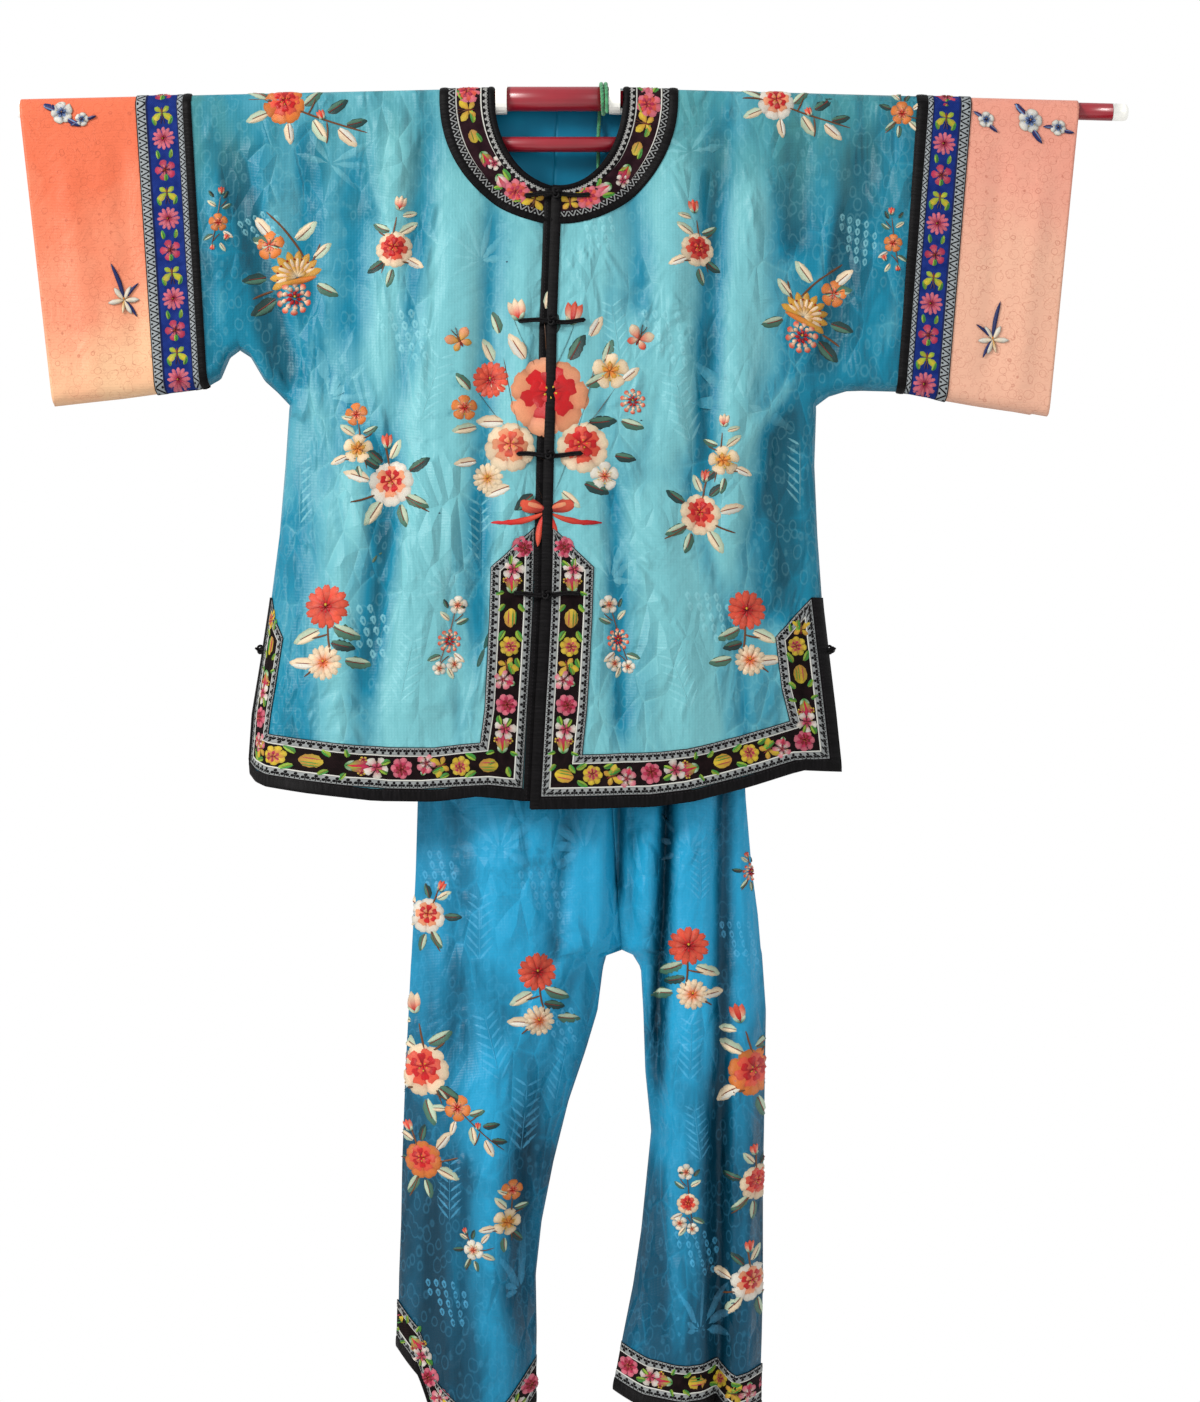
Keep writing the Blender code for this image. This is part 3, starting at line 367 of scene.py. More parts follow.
def mesh_piece(name, points, faces, material, outward=None, layers=None):
    """An object from arrays of points and quads; each face is turned to look along its outward normal."""
    points, faces = np.asarray(points, float).reshape(-1, 3), np.asarray(faces)
    if outward is not None:
        corner = points[faces]
        normal = np.cross(corner[:, 2] - corner[:, 0], corner[:, 3] - corner[:, 1])
        wrong = (normal * outward.reshape(-1, 3)[faces[:, 0]]).sum(1) < 0
        faces = np.where(wrong[:, None], faces[:, ::-1], faces)
    mesh = bpy.data.meshes.new(name)
    mesh.vertices.add(len(points))
    mesh.vertices.foreach_set("co", points.ravel())
    mesh.loops.add(faces.size)
    mesh.loops.foreach_set("vertex_index", faces.ravel())
    mesh.polygons.add(len(faces))
    mesh.polygons.foreach_set("loop_start", np.arange(len(faces)) * 4)
    mesh.update(calc_edges=True)
    mesh.polygons.foreach_set("use_smooth", np.ones(len(faces), bool))
    for layer, values in (layers or {}).items():
        values = np.asarray(values, float).reshape(len(points), -1)
        if values.shape[1] == 2:
            mesh.uv_layers.new(name=layer).data.foreach_set("uv", values[faces.ravel()].ravel())
        elif values.shape[1] == 1:
            mesh.attributes.new(layer, "FLOAT", "POINT").data.foreach_set("value", values.ravel())
        else:
            paint = mesh.color_attributes.new(layer, "FLOAT_COLOR", "POINT")
            paint.data.foreach_set("color", np.c_[values, np.ones(len(values))].ravel())
    mesh.materials.append(material)
    piece = bpy.data.objects.new(name, mesh)
    bpy.context.scene.collection.objects.link(piece)
    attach(piece, "root")
    return piece


def grid_faces(index, ring=False):
    """The quads of a grid of point numbers, closed across its columns if it is a ring."""
    if ring:
        index = np.concatenate([index, index[:, :1]], 1)
    quads = [index[:-1, :-1], index[:-1, 1:], index[1:, 1:], index[1:, :-1]]
    return np.stack(quads, -1).reshape(-1, 4)


def wall_of(piece, thick):
    """Thickens an open surface inwards."""
    wall = piece.modifiers.new("wall", "SOLIDIFY")
    wall.thickness, wall.offset, wall.use_even_offset = thick, -1.0, False
    return wall


def silk(name, pale, deep, spread, middle=-0.012, dirt=0.5, rough=0.42, ridges=0.85, lower=0.0, shoulder=None):
    """Satin: pale near the middle and on ridges, deep at the sides and in troughs, with a fine crosswise rib.

    Colour runs with the distance from the middle over the spread, plus the way down the leg, less the ridge height,
    plus cloudy noise; the shoulders are mixed towards a greyer tone. The ridge height paints light and shade: a
    painted highlight on the folds' ridges, painted shade in their troughs, down to a darkest stop of painted shade.
    Fine creases are the edges of stretched, slanting random cells, each cell a little paler or deeper, where cloudy
    noise is high; a pale line painted along each crease's edge is painted sheen.
    """
    made, shader, start = new_material(name, rough, 0.0, 0.16)
    place, across, down = place_of(start)
    cloud = place.noise(6.0, 3.0, 0.55)
    streak = place.stretched((26.0, 26.0, 5.0)).noise(1.0, 4.0, 0.62)
    crumple = place.stretched((15.0, 15.0, 8.0)).noise(1.0, 3.0, 0.5, 0.8)
    creases_at = place.stretched((38.0, 38.0, 20.0), (0.0, 0.5, 0.0))
    crease = creases_at.cells(1.0, "DISTANCE_TO_EDGE")
    facet = creases_at.cells(1.0, out=1)
    creased = crumple.above(0.42, 0.60)
    ridge = start.node("ShaderNodeAttribute", {"attribute_name": "ridge"}, out=2)
    away = (across - middle).abs() / spread
    # Painted light and shade: the fold ridge height pales the ridges as a painted highlight and deepens the troughs
    # as painted shade.
    side = away + (cloud - 0.5) * 1.1 + (streak - 0.5) * 1.3 + (crumple - 0.5) * 0.9 - ridge * ridges - 0.05
    side = side + down.above(-0.80, -1.18) * lower
    # Painted sheen: a pale line along the edge of each fine crease.
    side = side + ((facet - 0.5) * 0.24 - crease.above(0.06, 0.0) * 0.15) * creased
    half_way = tuple(0.5 * p + 0.5 * d for p, d in zip(pale, deep))
    # The last ramp stop, darker than the silk's deep tone, is painted shade.
    dark = tuple(0.46 * d for d in deep)
    tone = (side * 0.62).ramp((0.03, pale), (0.34, half_way), (0.62, deep), (1.0, dark))
    if shoulder:
        grey = down.above(-0.16, -0.02) * (cloud + streak - 0.5).above(0.25, 0.75)
        tone = (grey * 0.7).mix(tone, shoulder)
    crinkle = place.noise(24.0, 4.0, 0.5, 0.8)
    curls = place.stretched((1.0, 1.0, 0.6)).cells(105.0)
    curl = (curls + crinkle * 1.1 - 0.95).abs().above(0.10, 0.0)
    figure = start.node("ShaderNodeAttribute", {"attribute_name": "figure"}, out=2)
    tone = (figure * 0.5 + curl * 0.11).mix(tone, tuple(1.15 * p + 0.05 for p in pale))
    stain = place.noise(11.0, 6.0, 0.7)
    tone = (stain.above(0.62, 0.74) * dirt).mix(tone, tuple(c * f for c, f in zip(deep, (0.6, 0.62, 0.55))))
    rib = (down * 4200.0).sine() + (across * 2100.0).sine() * 0.5
    height = rib * 0.02 + crinkle * 0.9 + crumple * 2.6 + cloud * 1.5 + crease * creased * 4.0
    shade = (streak - 0.5) * 0.25 + rough
    return finish_with(made, shader, tone, height, 0.62, 0.0045, shade)


JACKET_PALE, JACKET_DEEP = (0.105, 0.300, 0.330), (0.0012, 0.125, 0.200)
jacket_silk = silk("jacket_silk", JACKET_PALE, JACKET_DEEP, 0.27, shoulder=(0.050, 0.190, 0.190))
# The silk's inside face: the same blue made darker, painted shade for the inside seen through the neck and the
# openings.
painted_shade_inside, painted_shade_inside_shader, painted_shade_inside_start = new_material("jacket_inside_painted_shade", 0.5, 0.0, 0.12)
painted_shade_inside_cloud = painted_shade_inside_start.node("ShaderNodeTexCoord", out=3).noise(14.0, 4.0)
finish_with(painted_shade_inside, painted_shade_inside_shader, painted_shade_inside_cloud.ramp((0.3, (0.0008, 0.085, 0.165)), (0.7, (0.002, 0.150, 0.260))))

# The jacket's body and sleeves: each half is cut in one with its front, back and sleeve, and is folded
# over the rod. The seams run down the middle of the back and up each side into the sleeve. The neck is cut round.
NECK = {-1: 0.0665, 1: 0.0645}
SIDE_COLUMN = {-1: 2, 1: 3}
SLEEVE_ROWS = {-1: 8, 1: 7}
LAP_FROM, LAP_HEM = -0.033, -0.699
NECK_DROP, BACK_NECK_DROP = 0.0910, 0.0030
COLLAR_WIDE, COLLAR_DROP = 0.0530, 0.0380
# Hem: place across, height.
HEM = millimetres(
    (-312, -650), (-300, -668), (-270, -678), (-230, -687), (-180, -696), (-120, -698), (-80, -694),
    (-33, -699), (-28, -707), (40, -706), (90, -704), (130, -698), (185, -683), (240, -665), (285, -666),
)


def neck_cutter(side, back):
    """A prism through everything inside half the neckline, on one side of the rod."""
    turn = np.linspace(0, math.pi / 2, 26)
    drop = BACK_NECK_DROP if back else NECK_DROP
    line = np.c_[side * NECK[side] * np.sin(turn), -drop * np.cos(turn)]
    outline = np.r_[line, [(side * NECK[side], 0.05), (-side * 0.06, 0.05), (-side * 0.06, line[0, 1])]]
    count = len(outline)
    near, far = (0.0, 0.09) if back else (-0.09, 0.0)
    points = np.r_[np.insert(outline, 1, near, 1), np.insert(outline, 1, far, 1)]
    ring = list(range(count))
    sides = [(a, (a + 1) % count, (a + 1) % count + count, a + count) for a in ring]
    mesh = bpy.data.meshes.new("neck_cutter")
    mesh.from_pydata(points.tolist(), [], [*sides, ring[::-1], [a + count for a in ring]])
    if side > 0:
        mesh.flip_normals()
    body = bpy.data.objects.new("neck_cutter", mesh)
    bpy.context.scene.collection.objects.link(body)
    return body


def turned_back(x, z):
    """The right side turns sharply back at its slit: what lies 52 mm from its edge is seen 21 mm from it."""
    edge = read(z, LINES, 2)
    near = np.interp(x - edge, (0, 0.011, 0.0315, 0.052, 0.130), (0, 0.002, 0.0085, 0.021, 0.130))
    turned = smooth((-z - 0.30) / 0.19)
    return np.where((x < edge + 0.130) & (x >= edge), x + (edge + near - x) * turned, x)


def lap_of(side, back):
    """How far the right front goes on under the left one."""
    return UNDERLAP if side < 0 and not back else 0


def hem_height(x, side, back):
    """The hem's height; the right front's is level where it lies under the left one."""
    return np.where((side < 0) & (not back) & (x > LAP_FROM), LAP_HEM, read(x, HEM, 1))


def half_lay(side, back):
    """Point places of one quarter with its sleeve: body columns by share, then sleeve columns by share of drop.

    The rows of both run over the rod and down to the underarm; the body's go on to the hem.
    """
    share = np.linspace(0, 1, 80)
    lap, column = lap_of(side, back), SIDE_COLUMN[side]
    over = np.linspace(ARC, 0, 7)[:-1, None]
    upper = np.linspace(0, 1, 56)[:, None]
    lower = np.linspace(0, 1, 66)[1:]
    foot = read(-0.70, LINES, 1) + lap
    foot = foot + (read(-0.655, LINES, column) - foot) * share
    low = UNDERARM + (hem_height(foot, side, back) - UNDERARM) * lower[:, None]
    z = np.r_[over + 0 * share, upper * UNDERARM + 0 * share, low]
    body_z = np.minimum(z, 0)
    centre = read(body_z, LINES, 1) + lap
    x = centre + (read(body_z, LINES, column) - centre) * share
    rings = SLEEVES[side][: SLEEVE_ROWS[side]]
    at = np.linspace(0, len(rings) - 1, 48)[1:]
    top, low_x, low_z = (np.interp(at, np.arange(len(rings)), rings[:, c]) for c in range(3))
    drop = np.r_[0 * over, upper]
    sleeve_x = top + (low_x - top) * drop
    sleeve_z = np.r_[over + 0 * top, low_z * upper]
    if side < 0:
        x = turned_back(x, body_z)
    return x, z, sleeve_x, sleeve_z


for side, word in SIDES:
    for back, face in FACES:
        x, z, sleeve_x, sleeve_z = half_lay(side, back)
        body_index = np.arange(x.size).reshape(x.shape)
        sleeve_index = x.size + np.arange(sleeve_x.size).reshape(sleeve_x.shape)
        sleeve_index = np.c_[body_index[: len(sleeve_x), -1], sleeve_index]
        faces = np.r_[grid_faces(body_index), grid_faces(sleeve_index)]
        x, z = np.r_[x.ravel(), sleeve_x.ravel()], np.r_[z.ravel(), sleeve_z.ravel()]
        surface = jacket_lapped if side < 0 and not back else jacket
        points, normals = lift_off(surface, x, 2 * ARC - z if back else z, 0)
        # The fold heights, kept on the silk to paint highlight on its ridges and shade in its troughs.
        ridge = folds_at(x, np.minimum(z, 0), BACK_FOLDS if back else FRONT_FOLDS) / 0.006
        name = f"silk_{face}_{word}"
        half = mesh_piece(name, points, faces, jacket_silk, normals, {"ridge": ridge})
        # The inside face takes the darker copy of the silk: painted shade.
        half.data.materials.append(painted_shade_inside)
        wall_of(half, CLOTH).material_offset = 1
        hole = neck_cutter(side, back)
        cut = half.modifiers.new("neck", "BOOLEAN")
        cut.operation, cut.solver, cut.object = "DIFFERENCE", "EXACT", hole
        look = half.evaluated_get(bpy.context.evaluated_depsgraph_get())
        half.data = bpy.data.meshes.new_from_object(look)
        half.modifiers.clear()
        bpy.data.objects.remove(hole)
        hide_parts(f"body_{face}_{word}")
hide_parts("sleeve_right")
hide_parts("sleeve_left")

# The cuffs: two peach silk sleeve ends, each one piece wrapped over the rod and sewn under the arm. The
# silk has a thin outlined flower pattern woven into it, is coral near the top and faded below.


def cuff_silk():
    """Peach satin: coral fading downwards and outwards with cloudy noise, and fine dark curls.

    The curls are the thin rings where the distance to random cell centres, bent by noise, is near one value.
    """
    made, shader, start = new_material("cuff_silk", 0.44, 0.0, 0.15)
    place, across, down = place_of(start)
    cloud = place.noise(7.0, 4.0, 0.6)
    fade = (down * -3.4) + (across.abs() - 0.40) * -1.2 + (across.above(-0.1, 0.1)) * 0.42 + (cloud - 0.5) * 1.0
    tone = fade.ramp((0.15, (0.47, 0.098, 0.045)), (0.55, (0.50, 0.175, 0.100)), (0.95, (0.52, 0.320, 0.185)))
    bent = place.noise(60.0, 2.0)
    ring = (place.cells(88.0) + bent * 0.35 - 0.62).abs().above(0.030, 0.0) * 0.40
    dots = (place.cells(190.0) + bent * 0.3 - 0.52).abs().above(0.05, 0.0) * 0.30
    tone = (across.above(-0.1, 0.1) * 0.55).mix(tone, (0.51, 0.25, 0.205))
    tone = (ring + dots).mix(tone, (0.22, 0.040, 0.018))
    rib = (down * 4200.0).sine()
    crinkle = place.noise(26.0, 5.0, 0.6, 1.0)
    return finish_with(made, shader, tone, rib * 0.03 + crinkle * 1.0 + cloud + (ring + dots) * 0.05, 0.5, 0.0035)


def ring_lay(side, at, rows=40, power=1.25):
    """Places of a sleeve ring's points: up the front from the lower edge, over the rod and down the back."""
    rings = SLEEVES[side]
    top, low_x, low_z = (np.interp(at, rings[:, 0] * side, rings[:, c]) for c in range(3))
    drop = 1 - (1 - np.linspace(1, 0, rows)) ** power
    drop = np.r_[drop, np.zeros(6), drop[::-1]][:, None]
    w = low_z * drop
    w[-rows:] = 2 * ARC - w[-rows:]
    w[rows : rows + 6] = np.linspace(0, 2 * ARC, 8)[1:-1, None]
    return top + (low_x - top) * drop, w


peach = cuff_silk()
for side, word, first, last in ((-1, "right", 0.417, 0.538), (1, "left", 0.405, 0.517)):
    x, w = ring_lay(side, np.linspace(first, last, 44))
    points, normals = lift_off(jacket, x, w, 0)
    cuff = mesh_piece(f"cuff_silk_{word}", points, grid_faces(np.arange(x.size).reshape(x.shape)), peach, normals)
    wall_of(cuff, CLOTH)
    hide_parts(f"cuff_{word}")

# The trousers: two straight legs of the same silk in a deeper blue, each one piece wrapped round from
# its inner seam, open at the outer side of the hem, and gathered into a plain cotton waistband.
# Outer and inner edge of each leg, by height. Above the crotch the inner edge is the middle seam.
LEGS = {
    -1: millimetres(
        (-1360, -163, -25.5), (-1300, -162, -25), (-1230, -161, -24), (-1175, -160, -25),
        (-1121, -158, -19), (-1061, -157, -7), (-1001, -155, 8), (-951, -153, 25), (-911, -151, 37),
        (-868, -149, 42.5), (-853.5, -148, 46.5), (-850, -148, 62.2), (-815, -146, 59.6),
        (-771, -144, 55.8), (-701, -142, 51.9), (-600, -139, 47.9), (-491, -128, 45.9),
    ),
    1: millimetres(
        (-1360, 197, 40), (-1300, 199, 52), (-1235, 201, 64), (-1185, 202, 74), (-1131, 202, 82),
        (-1081, 202, 87), (-1031, 203, 92), (-971, 204, 86), (-911, 205, 84), (-868, 202, 81.5),
        (-853.5, 201, 72.5), (-850, 200, 61.2), (-815, 197, 58.6), (-771, 191, 54.8), (-701, 185, 50.7),
        (-600, 180, 46.7), (-491, 170, 44.7),
    ),
}
# Lower edge of each leg, by share of its width from the outer to the inner edge.
LEG_HEM = {
    -1: np.array([(0.0, -1.247), (0.16, -1.270), (0.30, -1.322), (0.58, -1.358), (0.80, -1.338), (1.0, -1.302)]),
    1: np.array([(0.0, -1.311), (0.18, -1.316), (0.32, -1.300), (0.52, -1.303), (0.80, -1.299), (1.0, -1.289)]),
}
# Depth of a leg, by height: front, back, and half the space between them at the middle seam.
LEG_DEPTH = millimetres(
    (-1300, 34, 32, 0), (-1000, 30, 27, 0), (-848, 29, 26, 0), (-815, 29, 26, 12), (-771, 29, 26, 20),
    (-701, 28, 25, 23), (-600, 24, 22, 20), (-491, 17, 17, 14),
)
LEG_FRONT_FOLDS = millimetres(
    (-80, -600, -45, -860, 30, 7), (-98, -700, -95, -960, 18, -6), (28, -560, -8, -870, 12, -9),
    (46, -520, 40, -840, 9, 6), (62, -520, 58, -800, 8, -12), (87, -520, 90, -830, 11, 7),
    (112, -500, 98, -960, 9, -17), (134, -520, 126, -1300, 18, 7), (162, -560, 160, -980, 11, -10),
    (158, -990, 156, -1340, 12, -17), (186, -600, 186, -1300, 12, 6), (-70, -960, -62, -1330, 26, 9),
    (-34, -1020, -46, -1200, 13, -6), (-118, -1060, -128, -1330, 14, -6), (18, -840, -70, -980, 10, 3),
    (20, -860, -40, -1060, 9, -2.6), (-110, -760, -60, -1020, 8, 2.2), (-130, -980, -100, -1220, 8, 2.2),
    (-90, -1060, -98, -1300, 7, -2.2), (74, -560, 72, -820, 4, -3), (100, -560, 96, -760, 5, 2.6),
    (110, -900, 112, -1260, 7, 2.6), (128, -980, 130, -1300, 6, -3), (148, -620, 146, -960, 6, 2.6),
    (174, -960, 172, -1300, 5, 2.6), (-10, -620, -30, -800, 7, 2),
)
LEG_BACK_FOLDS = millimetres(
    (-90, -540, -85, -1100, 20, -8), (-40, -540, -50, -1200, 22, 7), (20, -520, 5, -860, 14, -8),
    (85, -520, 120, -1000, 14, -9), (140, -560, 150, -1300, 16, 8), (110, -1020, 105, -1330, 12, -10),
    (-120, -700, -118, -1200, 9, 2.6), (-20, -860, -70, -1020, 9, 2.8), (170, -640, 176, -1200, 9, -2.8),
    (75, -860, 130, -1020, 9, 2.8),
)


def leg(side, x, z):
    """A leg's inner face. Past its outer edge x runs on, round to the back.

    Depth rises from the outer edge as 1 less a high power of the distance from the leg's middle, and
    falls at the inner one to nothing, or above the crotch to the middle seam's own depth; folds fade at both.
    """
    x, z = np.broadcast_arrays(x, z)
    outer, inner = read(z, LEGS[side], 1), read(z, LEGS[side], 2)
    back = (x - outer) * side > 0
    x = np.where(back, 2 * outer - x, x)
    share = np.clip((x - outer) / (inner - outer), 0, 1)
    fork = read(z, LEG_DEPTH, 3)
    full = np.where(back, read(z, LEG_DEPTH, 2), read(z, LEG_DEPTH, 1))
    seam = fork * smooth((share - 0.4) / 0.2)
    depth = seam + (full - seam) * (1 - np.abs(2 * share - 1) ** 2.6)
    fold = np.where(back, folds_at(x, z, LEG_BACK_FOLDS), folds_at(x, z, LEG_FRONT_FOLDS))
    at_inner = np.maximum(smooth((1 - share) / 0.12), np.minimum(fork / 0.018, 1))
    depth = depth + fold * smooth(share / 0.12) * at_inner
    depth = np.maximum(np.maximum(depth, seam / 2), 0.003 * np.sin(math.pi * share))
    return np.stack([x, np.where(back, depth, -depth), z], -1)


def leg_right(x, z):
    return leg(-1, x, z)


def leg_left(x, z):
    return leg(1, x, z)


def leg_lay(side, shares, up):
    """Places on a leg by share of its width, which runs from 1 at the inner edge to 0, then to -1 at the back."""
    hem = np.interp(np.abs(shares), *LEG_HEM[side].T)
    z = hem + up
    outer, inner = read(z, LEGS[side], 1), read(z, LEGS[side], 2)
    return outer + (inner - outer) * shares, z


TROUSER_PALE, TROUSER_DEEP = (0.009, 0.205, 0.362), (0.0004, 0.050, 0.095)
trouser_silk = silk("trouser_silk", TROUSER_PALE, TROUSER_DEEP, 0.29, 0.02, 0.4, 0.40, 0.62, 1.0)
for side, word, surface in ((-1, "right", leg_right), (1, "left", leg_left)):
    bend = np.linspace(-1, 1, 124)
    shares = -np.sign(bend) * np.abs(bend) ** 1.15
    shares = shares[None]
    rows = np.linspace(0, 1, 150)[:, None]
    hem = np.interp(np.abs(shares), *LEG_HEM[side].T)
    z = -0.491 + (hem + 0.491) * rows
    outer, inner = read(z, LEGS[side], 1), read(z, LEGS[side], 2)
    x = outer + (inner - outer) * shares
    points, normals = lift_off(surface, x, z, 0)
    true_x = np.where(shares < 0, 2 * outer - x, x)
    # The fold heights, kept on the silk to paint highlight on its ridges and shade in its troughs.
    ridge = np.where(shares < 0, folds_at(true_x, z, LEG_BACK_FOLDS), folds_at(true_x, z, LEG_FRONT_FOLDS)) / 0.007
    faces = grid_faces(np.arange(x.size).reshape(x.shape))
    trouser = mesh_piece(f"trouser_silk_{word}", points, faces, trouser_silk, normals, {"ridge": ridge})
    # The inside face takes the darker copy of the silk: painted shade.
    trouser.data.materials.append(painted_shade_inside)
    wall_of(trouser, CLOTH).material_offset = 1
    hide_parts(f"trouser_leg_{word}")

# The waistband: a plain, undyed cotton band on top of the legs, gathered on the cord that ties it.


def cotton_cloth(name, colour):
    """Plain weave: two crossed sets of fine ribs, with cloudy noise in the colour."""
    made, shader, start = new_material(name, 0.85, 0.2, 0.3)
    place, across, down = place_of(start)
    cloud = place.noise(22.0, 4.0)
    tone = cloud.ramp((0.3, tuple(0.8 * c for c in colour)), (0.7, colour))
    weave = (across * 5200.0).sine() * (down * 5200.0).sine()
    return finish_with(made, shader, tone, weave * 0.1 + cloud, 0.5, 0.001)


turn = np.linspace(0, 2 * math.pi, 150, endpoint=False)[None]
level = np.linspace(0, 1, 40)[:, None]
z = -0.340 - 0.151 * level
low_edge = np.interp(-z, (0.340, 0.370, 0.430, 0.491), (-0.095, -0.100, -0.116, -0.126))
high_edge = np.interp(-z, (0.340, 0.370, 0.430, 0.491), (0.150, 0.152, 0.160, 0.168))
deep = np.interp(-z, (0.340, 0.370, 0.430, 0.491), (0.013, 0.015, 0.017, 0.018))
gather = 1 + (0.10 * np.sin(turn * 12 + 0.6) + 0.05 * np.sin(turn * 31 + 2 * np.sin(3 * turn))) * (1 - 0.3 * level)
x = (low_edge + high_edge) / 2 + (high_edge - low_edge) / 2 * np.cos(turn)
y = -deep * np.sign(np.sin(turn)) * np.abs(np.sin(turn)) ** 0.7 * gather
points = np.stack([x, y, z + 0 * x], -1)
out = np.stack([np.cos(turn) + 0 * x, -np.sin(turn) + 0 * x, 0 * x], -1)
faces = grid_faces(np.arange(x.size).reshape(x.shape), ring=True)
band = mesh_piece("cotton_waistband", points, faces, cotton_cloth("cotton", (0.36, 0.37, 0.35)), out)
wall_of(band, 0.0013).offset = 1.0
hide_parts("waistband")

# The hanger: a thick red tube between two white ferrules, two thin rods that slide into it and droop
# under the garment, and a thin bar below on two plastic straps. The rods end in white caps.


def lacquer(name, colour, rough, coat):
    """Smooth paint or plastic with a slightly uneven gloss and fine scuffs along the rod."""
    made, shader, start = new_material(name, rough, 0.0, 0.5, coat)
    place, across, down = place_of(start)
    cloud = place.noise(45.0, 4.0)
    scuff = place.stretched((20.0, 900.0, 900.0)).noise(1.0, 3.0)
    tone = (cloud * 0.6 + scuff * 0.4).ramp((0.3, tuple(0.82 * c for c in colour)), (0.65, colour))
    return finish_with(made, shader, tone, scuff, 0.12, 0.0004, scuff * 0.2 + (rough - 0.1))


def turned_bar(name, profile, axis_z, material, node, grooves=0.0):
    """A round bar along x: rings at the profile's places and radii, closed at both ends, on the rod's droop.

    The radius is cut by a fine groove sixteen times round where grooves is set.
    """
    profile = np.array(profile, float)
    turn = np.linspace(0, 2 * math.pi, 64, endpoint=False)[None]
    at, radius = profile[:, :1], profile[:, 1:]
    radius = radius * (1 - grooves * smooth(np.cos(turn * 16) * 3 - 2))
    drop = rod_height(at) if axis_z == 0 else axis_z
    points = np.stack([at + 0 * turn, radius * np.sin(turn), radius * np.cos(turn) + drop], -1)
    out = np.stack([0 * turn + 0 * at, np.sin(turn) + 0 * at, np.cos(turn) + 0 * at], -1)
    bar = mesh_piece(
        name, points, grid_faces(np.arange(points[..., 0].size).reshape(points.shape[:2]), True), material, out
    )
    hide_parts(node)


red_paint = lacquer("rod_paint", (0.20, 0.0030, 0.011), 0.34, 0.05)
white_plastic = lacquer("cap_plastic", (0.78, 0.77, 0.72), 0.32, 0.3)
turned_bar(
    "thick_tube",
    [(-0.0527, 0.0), (-0.0527, 0.0112), (-0.0521, 0.0120), (0.0481, 0.0120), (0.0487, 0.0112), (0.0487, 0.0)],
    0, red_paint, "hanger_tube", 0.012,
)
turned_bar(
    "lower_bar",
    [(-0.0672, 0.0), (-0.0672, 0.0070), (-0.0667, 0.0075), (0.0667, 0.0075), (0.0672, 0.0070), (0.0672, 0.0)],
    -0.0455, red_paint, "hanger_bar", 0.010,
)
for side, word, inner, end in ((-1, "right", -0.0530, -0.5430), (1, "left", 0.0490, 0.5680)):
    start, cap = inner + side * 0.0113, end - side * 0.016
    along = np.linspace(start, cap - side * 0.0003, 12)
    rod = [(start, 0.0), *[(x, 0.0085) for x in along], (along[-1], 0.0)]
    turned_bar(f"thin_rod_{word}", rod, 0, red_paint, f"hanger_rod_{word}", 0.012)
    tip = [
        (cap, 0.0), (cap, 0.0085), (end - side * 0.005, 0.0085), (end - side * 0.002, 0.0078),
        (end - side * 0.0006, 0.0058), (end, 0.003), (end, 0.0)
    ]
    turned_bar(f"white_cap_{word}", tip, 0, white_plastic, f"hanger_cap_{word}")
    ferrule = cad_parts[f"hanger_ferrule_{word}"]
    for slot in ferrule.material_slots:
        slot.material = white_plastic

# The drawstring: a green two-strand cotton cord. It is knotted round the thick tube, with a short free
# end, hangs behind the lower bar, and ties the waistband of the trousers at its other end.
CORD_X, CORD_R = 0.040, 0.0020
wound = np.radians(np.arange(19) * 30.0)
around = 0.0120 + 0.0006 + CORD_R
route = np.r_[
    [(CORD_X + 0.0070, -around, -0.018)],
    np.c_[CORD_X + 0.0066 * (1 - np.arange(19) / 18), -around * np.cos(wound), around * np.sin(wound)],
    [
        (CORD_X - 0.0010, 0.0125, -0.020),
        (CORD_X - 0.0015, 0.0112, -0.034),
        (CORD_X - 0.0018, 0.0112, -0.060),
        (CORD_X - 0.0020, 0.0090, -0.120),
        (CORD_X - 0.0020, 0.0085, -0.220),
        (CORD_X - 0.0020, 0.0095, -0.310),
        (CORD_X - 0.0020, 0.0108, -0.341),
        (CORD_X - 0.0020, 0.0127, -0.370),
    ],
]


def flowing(points, steps):
    """A smooth curve through points: between two of them it is the cubic whose slopes follow their neighbours."""
    padded = np.r_[[2 * points[0] - points[1]], points, [2 * points[-1] - points[-2]]]
    t = np.linspace(0, 1, steps, endpoint=False)[None, :, None]
    a, b, c, d = (padded[i : len(padded) - 3 + i, None] for i in range(4))
    curve = 0.5 * (2 * b + (c - a) * t + (2 * a - 5 * b + 4 * c - d) * t**2 + (3 * b - a - 3 * c + d) * t**3)
    return np.r_[curve.reshape(-1, 3), points[-1:]]


